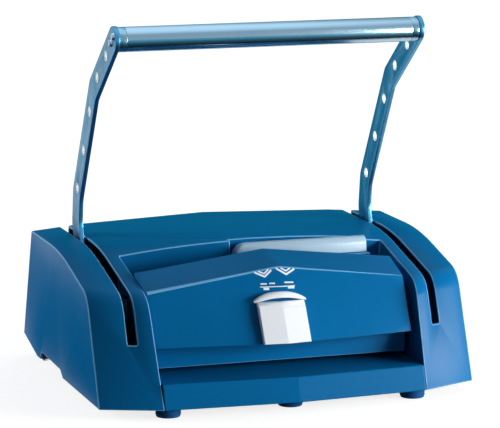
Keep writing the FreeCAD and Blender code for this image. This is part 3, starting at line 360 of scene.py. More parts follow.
@dataclass(frozen=True)
class Finish:
    """A surface finish: colour, gloss and the pattern that its making leaves.

    Attributes:
        name: the name of the material.
        colour: its sRGB colour in hex.
        roughness: the middle of its roughness.
        metallic: how metallic it is.
        ior: how strongly it bends light.
        specular: how strongly it reflects, 0.5 being plain.
        mottle: how far the colour wanders to either side, as a share of it.
        mottle_mm: the size of those clouds.
        gloss_spread: how far the roughness wanders with the pattern.
        height_mm: the height of the pattern.
        grain_mm: the size of a mould's grain as drawn.
    """

    name: str
    colour: str
    roughness: float
    metallic: float = 0.0
    ior: float = 1.5
    specular: float = 0.5
    mottle: float = 0.05
    mottle_mm: float = 60.0
    gloss_spread: float = 0.06
    height_mm: float = 0.02
    grain_mm: float = 0.9

    def height(self, tree: bpy.types.NodeTree, place: bpy.types.NodeSocket) -> bpy.types.NodeSocket:
        """Make the height pattern of the surface: here the fine spark-eroded grain of a mould.

        The real grain is 0.1 mm; it is drawn coarser so that it shows.

        Args:
            tree: the material's tree.
            place: the place on the piece.

        Returns:
            The socket that gives the height, from 0 to 1.
        """
        grain = add(tree, "ShaderNodeTexNoise",
                    values={"Scale": 1 / (self.grain_mm * MM), "Detail": 3.0, "Roughness": 0.6},
                    links={"Vector": place})
        return grain.outputs["Fac"]

    def build(self) -> bpy.types.Material:
        """Build the material.

        Returns:
            The node material, ready to be put on a piece.
        """
        material = bpy.data.materials.new(self.name)
        tree = cleared(material)
        place = add(tree, "ShaderNodeTexCoord").outputs["Object"]
        cloud = add(tree, "ShaderNodeTexNoise", values={"Scale": 1 / (self.mottle_mm * MM), "Detail": 4.0},
                    links={"Vector": place}).outputs["Fac"]
        shade = add(tree, "ShaderNodeMapRange", values={"To Min": 1 - self.mottle, "To Max": 1 + self.mottle},
                    links={"Value": cloud})
        tint = add(tree, "ShaderNodeMix", {"data_type": "RGBA", "blend_type": "MULTIPLY"},
                   {"Factor": 1.0, "A": linear(self.colour)})
        tree.links.new(shade.outputs["Result"], tint.inputs["B"])
        pattern = self.height(tree, place)
        gloss = add(tree, "ShaderNodeMapRange",
                    values={"To Min": max(self.roughness - self.gloss_spread, SMOOTHEST),
                            "To Max": self.roughness + self.gloss_spread},
                    links={"Value": pattern})
        bump = add(tree, "ShaderNodeBump", values={"Strength": RELIEF, "Distance": self.height_mm * MM},
                   links={"Height": pattern})
        shader = add(tree, "ShaderNodeBsdfPrincipled",
                     values={"Metallic": self.metallic, "IOR": self.ior, "Specular IOR Level": self.specular},
                     links={"Base Color": tint.outputs["Result"], "Roughness": gloss.outputs["Result"],
                            "Normal": bump.outputs["Normal"]})
        add(tree, "ShaderNodeOutputMaterial", links={"Surface": shader.outputs["BSDF"]})
        return material


@dataclass(frozen=True)
class BrushedMetal(Finish):
    """Metal brushed or drawn along one axis: long fine lines that stretch its highlights.

    Attributes:
        stretch: the pattern's scale along each axis, small along the lines.
        line_mm: the width of a line as drawn.
    """

    stretch: tuple[float, float, float] = (1.0, 1.0, 1.0)
    line_mm: float = 0.8

    def height(self, tree: bpy.types.NodeTree, place: bpy.types.NodeSocket) -> bpy.types.NodeSocket:
        """Make the lines along the brushing.

        The real ones are 0.05 mm wide; they are drawn wider so that they show.

        Args:
            tree: the material's tree.
            place: the place on the piece.

        Returns:
            The socket that gives the height, from 0 to 1.
        """
        along = add(tree, "ShaderNodeMapping", values={"Scale": self.stretch}, links={"Vector": place})
        lines = add(tree, "ShaderNodeTexNoise", values={"Scale": 1 / (self.line_mm * MM), "Detail": 4.0},
                    links={"Vector": along.outputs["Vector"]})
        return lines.outputs["Fac"]


@dataclass(frozen=True)
class ZincSheet(Finish):
    """Galvanised sheet with its flower-like crystals.

    Attributes:
        flower_mm: the size of a crystal.
    """

    flower_mm: float = 9.0

    def height(self, tree: bpy.types.NodeTree, place: bpy.types.NodeSocket) -> bpy.types.NodeSocket:
        """Make the crystals of zinc as cells of slightly different gloss.

        Args:
            tree: the material's tree.
            place: the place on the piece.

        Returns:
            The socket that gives the height, from 0 to 1.
        """
        cells = add(tree, "ShaderNodeTexVoronoi", values={"Scale": 1 / (self.flower_mm * MM)},
                    links={"Vector": place})
        return add(tree, "ShaderNodeSeparateColor", links={"Color": cells.outputs["Color"]}).outputs["Red"]


# Which way the lines run: along X, round X, and up the arms in short marks.
X_LINES = (0.02, 1.0, 1.0)
RINGS = (1.0, 0.05, 0.05)
ROLLED = (1.0, 0.35, 0.12)

# Injection-moulded ABS, dyed through: an even satin blue with a fine spark-eroded grain.
HOUSING = Finish("moulded_abs_blue", "#00659C", 0.34, ior=1.53, specular=0.08, mottle=0.05, height_mm=0.010)
# The same blue made lighter and glossier on the edges' roundings: the lighter colour is a painted highlight
# where the edges would catch the light.
EDGE_HIGHLIGHT = Finish("painted_edge_highlight_abs", "#66A9D6", 0.26, ior=1.53, specular=0.4, mottle=0.04, height_mm=0.004)
# White ABS moulding with a semi-gloss skin.
SELECTOR = Finish("moulded_abs_white", "#F8FBFF", 0.32, ior=1.53, mottle=0.015, height_mm=0.006)
# Pad-printed white ink on the hood: dense and a little rough.
INK = Finish("pad_printed_white_ink", "#E9F4FA", 0.5, mottle=0.03, mottle_mm=3.0)
# Natural acetal for the parts that slide: dull and slightly warm.
GUIDE = Finish("machined_acetal_natural", "#E4E2DA", 0.42, ior=1.48)
# Pale nylon: a soft sheen with slight flow clouds.
TOOL = Finish("moulded_nylon_pale", "#A8C4D6", 0.32, ior=1.53, mottle=0.04, mottle_mm=25.0, height_mm=0.008)
# Near-white nylon, moulded: an even soft sheen.
RIM = Finish("moulded_nylon_rim", "#EEF6FA", 0.3, ior=1.53, mottle=0.02)
# Rolled steel bar, blue-passivated zinc: cold grey-blue with short rolling marks and cloudy patches.
ARM = BrushedMetal("passivated_zinc_steel", "#58A3C8", 0.33, metallic=1.0, mottle=0.16, mottle_mm=9.0,
                   gloss_spread=0.12, height_mm=0.012, stretch=ROLLED, line_mm=1.1)
# Drawn aluminium tube, satin anodised: fine lines along its length.
GRIP = BrushedMetal("drawn_anodised_aluminium", "#B9D3E0", 0.2, metallic=1.0, mottle=0.03,
                    height_mm=0.003, stretch=X_LINES)
# Turned aluminium, satin anodised: fine rings round its axis.
COLLAR = BrushedMetal("turned_anodised_aluminium", "#A3C4D4", 0.22, metallic=1.0, height_mm=0.004,
                      stretch=RINGS)
# Galvanised sheet: dull zinc with visible crystals.
FRAME = ZincSheet("galvanised_steel_sheet", "#8C949B", 0.42, metallic=1.0)
# Dark powder coat on the base: an orange-peel skin.
BASE = Finish("powder_coated_steel_dark", "#17222E", 0.55, mottle=0.08, height_mm=0.06)
# Ground tool steel: lines along the grinding.
JAW = BrushedMetal("ground_tool_steel", "#7E868D", 0.3, metallic=1.0, stretch=X_LINES)
# Turned bright steel: fine rings.
SHAFT = BrushedMetal("turned_bright_steel", "#9AA1A6", 0.2, metallic=1.0, stretch=RINGS)
# Spring wire, oiled: dark steel with a soft shine.
SPRING = Finish("oiled_spring_steel", "#4A4E52", 0.35, metallic=1.0)
# Zinc-plated steel, pressed and tumbled: bright with small clouds.
SCREW = Finish("zinc_plated_screw_steel", "#D3E2EB", 0.24, metallic=1.0, mottle=0.08, mottle_mm=2.0)
# Sintered bronze, soaked with oil: dull brown with fine specks.
BRONZE = Finish("sintered_bronze", "#8F6A3B", 0.48, metallic=1.0, mottle=0.12, mottle_mm=3.0)
# Dark blue rubber, moulded: matt with a cloudy bloom.
RUBBER = Finish("moulded_rubber_blue", "#0C4F86", 0.7, ior=1.52, specular=0.15, mottle=0.15,
                mottle_mm=8.0, height_mm=0.04)


# Repeated parts


class Repeater:
    """A Geometry Nodes tree that puts one small part at every point of a host mesh."""

    def __init__(self, name: str) -> None:
        """Start the tree with its host, material and turn inputs.

        Args:
            name: the name of the tree.
        """
        self.tree = bpy.data.node_groups.new(name, "GeometryNodeTree")
        self.keys: dict[str, str] = {}
        self.tree.interface.new_socket("Part", in_out="OUTPUT", socket_type="NodeSocketGeometry")
        self.inlet = add(self.tree, "NodeGroupInput")
        self.want("Host", "NodeSocketGeometry")
        self.want("Material", "NodeSocketMaterial")
        self.want("Turn", "NodeSocketVector")

    def want(self, name: str, kind: str = "NodeSocketFloat") -> bpy.types.NodeSocket:
        """Add a named input to the tree.

        Args:
            name: what the input is called.
            kind: the type of its socket.

        Returns:
            The socket to link from.
        """
        self.keys[name] = self.tree.interface.new_socket(name, in_out="INPUT", socket_type=kind).identifier
        return self.inlet.outputs[name]

    def close(self, part: bpy.types.NodeSocket) -> None:
        """End the tree with the part on every host point, made real, in its material.

        Args:
            part: the socket that gives the part.
        """
        spread = add(self.tree, "GeometryNodeInstanceOnPoints",
                     links={"Points": self.inlet.outputs["Host"], "Instance": part,
                            "Rotation": self.inlet.outputs["Turn"]})
        real = add(self.tree, "GeometryNodeRealizeInstances", links={0: spread.outputs[0]})
        painted = add(self.tree, "GeometryNodeSetMaterial",
                      links={"Geometry": real.outputs[0], "Material": self.inlet.outputs["Material"]})
        add(self.tree, "NodeGroupOutput", links={0: painted.outputs[0]})

    def run(self, name: str, places: Sequence[Vector], material: bpy.types.Material, turn: Euler,
            sizes: dict[str, float]) -> bpy.types.Object:
        """Make the parts.

        Args:
            name: the name of the new piece.
            places: where each part stands, in metres.
            material: the material of all of them.
            turn: how the part is turned from standing along Z.
            sizes: the tree's size inputs by name, with lengths in metres.

        Returns:
            One plain mesh object with every part in it.
        """
        host = bpy.data.meshes.new(name)
        host.from_pydata(list(places), [], [])
        piece = mesh_object(name, host)
        modifier = piece.modifiers.new("repeat", "NODES")
        modifier.node_group = self.tree
        modifier[self.keys["Material"]] = material
        modifier[self.keys["Turn"]] = list(turn)
        for key, value in sizes.items():
            modifier[self.keys[key]] = value
        settled(piece)
        shade_by_angle(piece.data)
        return piece


class RingRepeater(Repeater):
    """Rings of a rounded rectangular section, such as rims and beads."""

    around: int = 40
    corner_steps: int = 3

    def __init__(self) -> None:
        """Build the ring from its radius, length, wall and rounding."""
        super().__init__("rings")
        radius, length = self.want("Radius"), self.want("Length")
        wall, rounding = self.want("Wall"), self.want("Rounding")
        path = add(self.tree, "GeometryNodeCurvePrimitiveCircle", values={"Resolution": self.around},
                   links={"Radius": radius})
        outline = add(self.tree, "GeometryNodeCurvePrimitiveQuadrilateral",
                      links={"Width": wall, "Height": length})
        fillet = add(self.tree, "GeometryNodeFilletCurve", {"mode": "POLY"}, {"Count": self.corner_steps},
                     {"Curve": outline.outputs[0], "Radius": rounding})
        ring = add(self.tree, "GeometryNodeCurveToMesh",
                   links={"Curve": path.outputs[0], "Profile Curve": fillet.outputs[0]})
        self.close(ring.outputs[0])


class HeadRepeater(Repeater):
    """Screw heads with a chamfered crown and a hexagon socket, as shares of the head's radius and height."""

    around: int = 32
    crown_share: float = 0.72
    socket_share: float = 0.46
    socket_rise: float = 0.95

    def __init__(self) -> None:
        """Build the head from its radius and height."""
        super().__init__("screw_heads")
        radius, height = self.want("Radius"), self.want("Height")
        parts = ((self.crown_share, radius), (self.socket_share, radius), (self.socket_rise, height))
        crown, socket, lift = (
            add(self.tree, "ShaderNodeMath", {"operation": "MULTIPLY"}, {1: share}, {0: size}).outputs[0]
            for share, size in parts)
        head = add(self.tree, "GeometryNodeMeshCone", values={"Vertices": self.around, "Side Segments": 1},
                   links={"Radius Top": crown, "Radius Bottom": radius, "Depth": height})
        tool = add(self.tree, "GeometryNodeMeshCylinder", values={"Vertices": 6},
                   links={"Radius": socket, "Depth": height})
        rise = add(self.tree, "ShaderNodeCombineXYZ", links={"Z": lift})
        raised = add(self.tree, "GeometryNodeTransform",
                     links={"Geometry": tool.outputs["Mesh"], "Translation": rise.outputs[0]})
        cut = add(self.tree, "GeometryNodeMeshBoolean", {"operation": "DIFFERENCE"},
                  links={"Mesh 1": head.outputs["Mesh"], "Mesh 2": raised.outputs[0]})
        self.close(cut.outputs["Mesh"])


class CoilRepeater(Repeater):
    """Compression springs as wound wire."""

    per_turn: int = 24
    around: int = 10

    def __init__(self) -> None:
        """Build the coil from its radius, length, turns and wire."""
        super().__init__("coils")
        radius, length = self.want("Radius"), self.want("Length")
        turns, wire = self.want("Turns"), self.want("Wire")
        spiral = add(self.tree, "GeometryNodeCurveSpiral", values={"Resolution": self.per_turn},
                     links={"Rotations": turns, "Start Radius": radius, "End Radius": radius,
                            "Height": length})
        section = add(self.tree, "GeometryNodeCurvePrimitiveCircle", values={"Resolution": self.around},
                      links={"Radius": wire})
        coil = add(self.tree, "GeometryNodeCurveToMesh", values={"Fill Caps": True},
                   links={"Curve": spiral.outputs[0], "Profile Curve": section.outputs[0]})
        self.close(coil.outputs[0])


# Sub-assemblies


# How a repeated part is turned from standing along Z.
ALONG_X = Euler((0.0, math.radians(90.0), 0.0))
AGAINST_X = Euler((0.0, math.radians(-90.0), 0.0))
UPRIGHT = Euler((0.0, 0.0, 0.0))
DOWNWARD = Euler((math.radians(180.0), 0.0, 0.0))
ALONG_Y = Euler((math.radians(-90.0), 0.0, 0.0))


@dataclass(frozen=True)
class ScrewHead:
    """A detailed screw head in millimetres: its radius, its height and how far it caps the plain one."""

    radius: float
    height: float
    proud: float = 0.15


SMALL_HEAD = ScrewHead(4.2, 2.5)
GRIP_HEAD = ScrewHead(4.9, 2.6)


class Workshop:
    """What the sub-assemblies share: the frame's nodes, the finishes made so far and the repeaters."""

    def __init__(self, frame: dict[str, Any]) -> None:
        """Read which body each node rides on and make the repeaters.
        """
        self.nodes = frame["nodes"]
        bodies = frame["record"]["behaviour"]["bodies"]
        self.body_of = {node: body for body, nodes in bodies.items() for node in nodes}
        self.made: dict[str, bpy.types.Material] = {}
        self.rings = RingRepeater()
        self.heads = HeadRepeater()
        self.coils = CoilRepeater()

    def material(self, finish: Finish) -> bpy.types.Material:
        """Give the material of a finish, built once.

        Args:
            finish: the finish.

        Returns:
            Its material.
        """
        if finish.name not in self.made:
            self.made[finish.name] = finish.build()
        return self.made[finish.name]

    def paint(self, finish: Finish, *names: str) -> None:
        """Give frame nodes that keep their own shape a finish.

        Args:
            finish: the finish.
            names: the nodes.
        """
        for name in names:
            self.nodes[name].data.materials.clear()
            self.nodes[name].data.materials.append(self.material(finish))
            LOG.info("%s is finished in %s", name, finish.name)

    def add_on(self, piece: bpy.types.Object, body: str) -> None:
        """Let a new piece ride on a body.

        Args:
            piece: the new piece.
            body: the body that it moves with.
        """
        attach(piece, body)
        LOG.info("%s rides on %s with %d faces", piece.name, body, len(piece.data.polygons))

    def stand_in(self, piece: bpy.types.Object, node: str) -> None:
        """Let a new piece take the place of a frame node."""
        self.add_on(piece, self.body_of[node])
        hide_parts(node)

    def soften(self, node: str, finish: Finish, edge: Round, clamp: bool = False,
               edge_finish: Finish | None = None, crisp: float | None = None) -> bpy.types.Object:
        """Replace a node by a copy with rounded edges.

        Args:
            node: the frame's node.
            finish: the finish of the copy.
            edge: how far its edges are rounded.
            clamp: keep a rounding from running past its neighbours.
            edge_finish: the lighter finish that paints a highlight on the rounded edges, if they get one.
            crisp: the angle in degrees from which even a slight fold stays sharp, if it should.

        Returns:
            The copy.
        """
        materials = [self.material(one) for one in (finish, edge_finish) if one is not None]
        piece = softened(self.nodes[node], node + "_finished", edge, materials, clamp, crisp)
        self.stand_in(piece, node)
        return piece

    def cap_screws(self, node: str, turn: Euler, head: ScrewHead = SMALL_HEAD) -> None:
        """Put detailed heads over the plain heads of a node's screws that stand in one direction.

        Args:
            node: the frame's node of screws.
            turn: the direction that the heads face, as a turn from Z.
            head: the size of a head.
        """
        up = Vector((0.0, 0.0, 1.0))
        up.rotate(turn)
        sideways = abs(up.x) > 0.5
        places = []
        for low, high in loose_boxes(self.nodes[node]):
            middle = 0.5 * (low + high)
            reach = 0.5 * sum(abs(up[k]) * (high[k] - low[k]) for k in range(3))
            if not sideways or middle.x * up.x > 0:
                places.append(middle + up * (reach - head.height * MM + head.proud * MM))
        side = ("_right" if up.x > 0 else "_left") if sideways else ""
        piece = self.heads.run(node + "_heads" + side, places, self.material(SCREW), turn,
                               {"Radius": head.radius * MM, "Height": head.height * MM})
        self.add_on(piece, self.body_of[node])


@dataclass
class Housing:
    """Moulded cover, front tray and steel base; the tray's panel has a slight fold that stays crisp."""

    slot: str = "housing_plastic"
    fold_degrees: float = 3.0

    def build(self, shop: Workshop) -> None:
        """Round the mouldings' edges and finish the base.

        Args:
            shop: the workshop.
        """
        # The cover's rounded edges get a painted highlight in a lighter blue; the tray's do not.
        shop.soften("main_cover", HOUSING, Round.SOFT, edge_finish=EDGE_HIGHLIGHT)
        shop.soften("front_tray", HOUSING, Round.SOFT, crisp=self.fold_degrees)
        shop.paint(BASE, "base_plate")
        shop.paint(SCREW, "cover_screws")
        shop.cap_screws("cover_screws", DOWNWARD)


@dataclass(frozen=True)
class Mark:
    """One printed line: its width and its corners as (x, z) seen from the front, in millimetres."""

    width: float
    line: tuple[Pair, ...]


@dataclass(frozen=True)
class HoodFace:
    """How the hood's folded front runs, in the drawing's millimetres, from its middle to its ends."""

    half: float = 157.5
    foot_z: float = 71.5
    foot_y: Pair = (21.0, 39.0)
    crease_y: Pair = (72.0, 68.0)
    crease_z: Pair = (151.0, 131.0)

    def crease(self, x: float) -> Pair:
        """Give the depth and the height of the crease at a distance from the fold."""
        share = abs(x) / self.half
        return between(self.crease_y, share), between(self.crease_z, share)

    def depth(self, x: float, z: float) -> float:
        """Give the depth of the front face.

        Args:
            x: distance from the fold.
            z: height in the drawing.

        Returns:
            How far back the face is there.
        """
        foot = between(self.foot_y, abs(x) / self.half)
        back, top = self.crease(x)
        return foot + (back - foot) * (z - self.foot_z) / (top - self.foot_z)


@dataclass
class Hood:
    """Folded hood over the jaws, its apron, a painted highlight along its crease and the marks printed above
    the selector.

    Attributes:
        slot: the record's material slot of the mouldings; not used.
        face: how the front runs.
        ink_mm: how far a mark stands off the skin.
        sink_mm: how far it reaches into it.
        stroke_steps: the steps along each run of a mark.
        view_y: where the looks at the front start.
        view_rise: how far over the crease the looks down start.
        crease_mm: how far the painted highlight on the crease reaches to either side of it, at its left and
            right end.
        crease_ends: where that highlight starts and ends.
        crease_lift_mm: how far it stands off the skin.
        crease_depth_mm: how far it reaches into it.
        crease_steps: the steps along it.
        marks: the printed lines.
    """

    slot: str = "housing_plastic"
    face: HoodFace = HoodFace()
    ink_mm: float = 0.2
    sink_mm: float = 0.3
    stroke_steps: int = 20
    view_y: float = -80.0
    view_rise: float = 60.0
    crease_mm: Pair = (2.2, 0.5)
    crease_ends: Pair = (-159.0, 151.0)
    crease_lift_mm: float = 0.08
    crease_depth_mm: float = 1.6
    crease_steps: int = 60
    marks: tuple[Mark, ...] = (
        Mark(2.0, ((-30.0, 146.0), (-18.6, 141.0), (-9.4, 147.6))),
        Mark(1.5, ((-25.0, 146.8), (-18.7, 144.2), (-12.8, 148.4))),
        Mark(2.0, ((-3.6, 149.2), (7.6, 142.2), (18.6, 147.2))),
        Mark(1.5, ((2.2, 149.2), (7.8, 145.8), (13.4, 148.2))),
        Mark(1.5, ((-25.0, 133.6), (-17.6, 133.4))),
        Mark(1.5, ((-14.6, 133.8), (-8.0, 133.6))),
        Mark(1.5, ((3.6, 134.0), (14.6, 133.4))),
        Mark(0.9, ((-26.0, 130.4), (15.6, 129.8))),
        Mark(2.6, ((-22.6, 128.4), (-16.0, 128.2))),
        Mark(2.6, ((6.6, 128.6), (14.6, 128.2))),
    )

    def drape(self, skin: BVHTree, x: float, z: float, lift_mm: float) -> Vector:
        """Find a point on the hood's outside by looking at it from the front.

        Args:
            skin: the hood's surface.
            x: distance to the right of the middle, in millimetres.
            z: height in the drawing, in millimetres.
            lift_mm: distance off the surface, negative to sink in.

        Returns:
            The point in metres.
        """
        spot, normal, _, _ = skin.ray_cast(at(x, self.view_y, z), Vector((0.0, 1.0, 0.0)))
        return spot + normal * lift_mm * MM

    def stroke(self, skin: BVHTree, mark: Mark) -> bpy.types.Object:
        """Draw one printed line as a thin closed skin on the hood, with mitred corners.

        Args:
            skin: the hood's surface.
            mark: the line.

        Returns:
            The line as one closed strip.
        """
        shares = [k / self.stroke_steps for k in range(self.stroke_steps)]
        steps: list[Pair] = []
        for (x0, z0), (x1, z1) in zip(mark.line, mark.line[1:]):
            steps += [(between((x0, x1), share), between((z0, z1), share)) for share in shares]
        steps.append(mark.line[-1])
        sections = []
        for i, (x, z) in enumerate(steps):
            ax, az = steps[max(i - 1, 0)]
            bx, bz = steps[min(i + 1, len(steps) - 1)]
            run = math.hypot(bx - ax, bz - az)
            nx, nz = -(bz - az) / run, (bx - ax) / run
            half = 0.5 * mark.width
            edge = [(x + nx * half, z + nz * half), (x - nx * half, z - nz * half)]
            outer = [self.drape(skin, px, pz, self.ink_mm) for px, pz in edge]
            inner = [self.drape(skin, px, pz, -self.sink_mm) for px, pz in reversed(edge)]
            sections.append(outer + inner)
        return lofted("stroke", sections)

    def crease(self, skin: BVHTree) -> bpy.types.Object:
        """Make a painted highlight along the hood's crease: a thin strip in the lighter edge blue, broad at
        the left and slim at the right.

        Args:
            skin: the hood's surface.

        Returns:
            The ridge as one closed strip.
        """
        lift, depth = self.crease_lift_mm, self.crease_depth_mm
        sections = []
        for i in range(self.crease_steps + 1):
            share = i / self.crease_steps
            x, reach = between(self.crease_ends, share), between(self.crease_mm, share)
            y, z = self.face.crease(x)
            below = self.drape(skin, x, z - reach, lift)
            top, _, _, _ = skin.ray_cast(at(x, y + reach, z + self.view_rise), Vector((0.0, 0.0, -1.0)))
            middle = at(x, y, z)
            inside = middle + Vector((0.0, depth, -depth)) * MM
            crown = middle + (middle - 0.5 * (below + top)).normalized() * lift * MM
            sections.append([below, crown, top + Vector((0.0, 0.0, lift)) * MM, inside])
        return lofted("hood_crease_painted_highlight", sections)

    def build(self, shop: Workshop) -> None:
        """Finish the hood and apron, lay the painted highlight on the crease and print the marks.

        Args:
            shop: the workshop.
        """
        # The rounded edges of the hood and apron get a painted highlight in a lighter blue.
        hood = shop.soften("hood", HOUSING, Round.MOULDED, clamp=True, edge_finish=EDGE_HIGHLIGHT)
        shop.soften("hood_apron", HOUSING, Round.MOULDED, edge_finish=EDGE_HIGHLIGHT)
        skin = BVHTree.FromPolygons([v.co for v in hood.data.vertices],
                                    [list(p.vertices) for p in hood.data.polygons])
        # A lighter strip along the crease: a painted highlight, broad at the left and slim at the right.
        crease_highlight = self.crease(skin)
        crease_highlight.data.materials.append(shop.material(EDGE_HIGHLIGHT))
        shop.add_on(crease_highlight, "root")
        marks = joined("hood_marks", [self.stroke(skin, mark) for mark in self.marks])
        marks.data.materials.append(shop.material(INK))
        shop.add_on(marks, "root")
        shop.paint(SCREW, "hood_screws")
        shop.cap_screws("hood_screws", UPRIGHT)


@dataclass
class Selector:
    """White thumb slide: a folded face under a tapered lip, on its stem and slide.

    Attributes:
        face: how the hood's front runs.
        rest_x: where the slide stands in the drawing.
        half: half the face's width.
        foot_z: the height of the face's foot.
        top_z: the height of its top.
        foot_profile: the foot's side view, as (distance off the hood, rise over foot_z).
        top_profile: the top's side view with its step, as (distance off the hood, rise over top_z).
        back_off: how far the face's back clears the hood.
        side_share: how far the sides stand out, as a share of the face.
        corner: the width of a side's slant.
        lip_half: half the lip's width.
        lip_z: the height of its middle.
        lip_shift: how far it lies off the face's middle.
        lip_off: the distance of its middle line off the hood.
        lip_clear: how near to the hood it may come.
        lip_thick: half its thickness in the middle, off the hood and up.
        lip_drop: how far its ends bend down.
        lip_bend: how late they bend.
        lip_taper: how much slimmer they are.
        lip_square: how square its section is, 1 being round.
        lip_steps: the steps along it and round it.
    """

    face: HoodFace = HoodFace()
    rest_x: float = -6.5
    half: float = 28.5
    foot_z: float = 72.4
    top_z: float = 115.4
    foot_profile: tuple[Pair, ...] = ((2.0, 0.0), (6.2, 0.0), (6.8, 0.7))
    top_profile: tuple[Pair, ...] = (
        (9.0, -5.6), (8.2, -5.2), (8.6, -4.6), (7.0, -0.6), (6.0, 0.0), (2.0, 0.0))
    back_off: float = 2.0
    side_share: float = 0.72
    corner: float = 1.0
    lip_half: float = 31.4
    lip_z: float = 122.9
    lip_shift: float = -0.8
    lip_off: float = 6.4
    lip_clear: float = 1.9
    lip_thick: Pair = (4.3, 3.3)
    lip_drop: float = 6.2
    lip_bend: float = 2.2
    lip_taper: float = 0.88
    lip_square: float = 0.8
    lip_steps: tuple[int, int] = (16, 14)

    def slice(self, x: float, outline: Sequence[Pair]) -> list[Vector]:
        """Place an outline of (distance off the hood, height) pairs at one x of the knob."""
        return [at(self.rest_x + x, self.face.depth(x, z) - off, z) for off, z in outline]

    def body(self) -> bpy.types.Object:
        """Make the folded face with the step under its top band and drawn-in sides.

        Returns:
            The face as one closed shell.
        """
        outline = [(off, self.foot_z + rise) for off, rise in self.foot_profile]
        outline += [(off, self.top_z + rise) for off, rise in self.top_profile]
        side = [(self.back_off + self.side_share * (off - self.back_off), z) for off, z in outline]
        inner = self.half - self.corner
        sections = [self.slice(x, outline) for x in (-inner, -self.corner, 0.0, self.corner, inner)]
        return lofted("face", [self.slice(-self.half, side), *sections, self.slice(self.half, side)])

    def lip(self) -> bpy.types.Object:
        """Make the lip: highest and thickest in the middle, bent down to slim ends.

        Returns:
            The lip as one closed shell.
        """
        along, around = self.lip_steps
        sections = []
        for i in range(along + 1):
            t = between((-1.0, 1.0), i / along)
            swell = math.sqrt(1.0 - self.lip_taper * abs(t) ** 3)
            middle_z = self.lip_z - self.lip_drop * abs(t) ** self.lip_bend
            outline = []
            for k in range(around):
                a = 2.0 * math.pi * k / around
                across, high = (math.copysign(abs(part) ** self.lip_square, part)
                                for part in (math.cos(a), math.sin(a)))
                off = self.lip_off + self.lip_thick[0] * swell * across
                outline.append((max(off, self.lip_clear), middle_z + self.lip_thick[1] * swell * high))
            sections.append(self.slice(self.lip_shift + t * self.lip_half, outline))
        return lofted("lip", sections)

    def build(self, shop: Workshop) -> None:
        """Put the knob together and finish the parts behind the hood.

        Args:
            shop: the workshop.
        """
        knob = joined("selector_knob_finished", [self.body(), self.lip()])
        knob.data.materials.append(shop.material(SELECTOR))
        shop.stand_in(knob, "selector_knob")
        shop.paint(SELECTOR, "selector_stem")
        shop.paint(GUIDE, "selector_slide", "selector_rails")


@dataclass
class Lever:
    """Both arms with their rimmed holes, the grip tube and its collars.

    Attributes:
        arm_mid_mm: how far an arm's middle is from the machine's.
        arm_thick_mm: the thickness of an arm.
        hole_mm: the radius of its holes.
        rim_wall_mm: the wall of a rim.
        rim_press_mm: how far a rim is pressed into the hole's wall.
        rim_proud_mm: how far it stands out at each side of the arm.
        rim_round_mm: the rounding of its edges.
        holes: where the holes are, as (depth, height) in the drawing.
    """

    arm_mid_mm: float = 184.0
    arm_thick_mm: float = 5.1
    hole_mm: float = 6.4
    rim_wall_mm: float = 0.9
    rim_press_mm: float = 0.05
    rim_proud_mm: float = 0.25
    rim_round_mm: float = 0.3
    holes: tuple[Pair, ...] = (
        (267.5, 221.5), (238.25, 271.25), (209.0, 321.0), (174.0, 365.5), (135.0, 394.5))

    def rim_holes(self, shop: Workshop) -> None:
        """Line the holes of both arms with pale rims.

        Args:
            shop: the workshop.
        """
        places = [at(side * self.arm_mid_mm, y, z) for side in (-1, 1) for y, z in self.holes]
        rims = shop.rings.run("hole_rims", places, shop.material(RIM), ALONG_X,
                              {"Radius": (self.hole_mm - 0.5 * self.rim_wall_mm + self.rim_press_mm) * MM,
                               "Length": (self.arm_thick_mm + 2.0 * self.rim_proud_mm) * MM,
                               "Wall": self.rim_wall_mm * MM, "Rounding": self.rim_round_mm * MM})
        shop.add_on(rims, "handle")

    def build(self, shop: Workshop) -> None:
        """Finish the lever and its screws.

        Args:
            shop: the workshop.
        """
        for node in ("left_arm", "right_arm"):
            shop.soften(node, ARM, Round.MACHINED)
        shop.soften("grip_tube", GRIP, Round.CRISP)
        shop.soften("grip_collars", COLLAR, Round.MACHINED)
        self.rim_holes(shop)
        shop.paint(SCREW, "grip_screws", "shaft_nuts")
        for turn in (ALONG_X, AGAINST_X):
            shop.cap_screws("grip_screws", turn, GRIP_HEAD)
        shop.paint(SHAFT, "pivot_shaft", "arm_hubs", "cam_collars")
        shop.paint(JAW, "left_cam", "right_cam")


@dataclass
class Press:
    """Side frames, jaws, followers, springs and stops inside the housing.

    Attributes:
        spring_turns: how often a jaw spring is wound.
        wire_mm: the radius of its wire.
        keep: the spring's length with the jaw closed, as a share of its length at rest; not used.
    """

    spring_turns: float = 6.0
    wire_mm: float = 0.55
    keep: float = 0.38

    def wind_springs(self, shop: Workshop) -> None:
        """Wind the two springs that part the jaws.

        Args:
            shop: the workshop.
        """
        boxes = loose_boxes(shop.nodes["jaw_springs"])
        low, high = boxes[0]
        wire = self.wire_mm * MM
        places = [Vector((0.5 * (a.x + b.x), a.y + wire, 0.5 * (a.z + b.z))) for a, b in boxes]
        coils = shop.coils.run("jaw_spring_coils", places, shop.material(SPRING), ALONG_Y,
                               {"Radius": 0.5 * (high.z - low.z) - wire,
                                "Length": high.y - low.y - 2.0 * wire,
                                "Turns": self.spring_turns, "Wire": wire})
        shop.stand_in(coils, "jaw_springs")
        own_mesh(coils)

    def build(self, shop: Workshop) -> None:
        """Finish the mechanism.

        Args:
            shop: the workshop.
        """
        shop.paint(FRAME, "left_side_frame", "right_side_frame", "spine_rest")
        shop.paint(JAW, "fixed_jaw", "jaw_insert", "moving_jaw")
        shop.paint(SHAFT, "rear_tie_bar", "stop_pins", "jaw_guide_pins", "follower_pins")
        shop.paint(BRONZE, "shaft_bushes", "cam_followers")
        shop.paint(RUBBER, "stop_sleeves")
        shop.paint(SCREW, "frame_screws")
        self.wind_springs(shop)


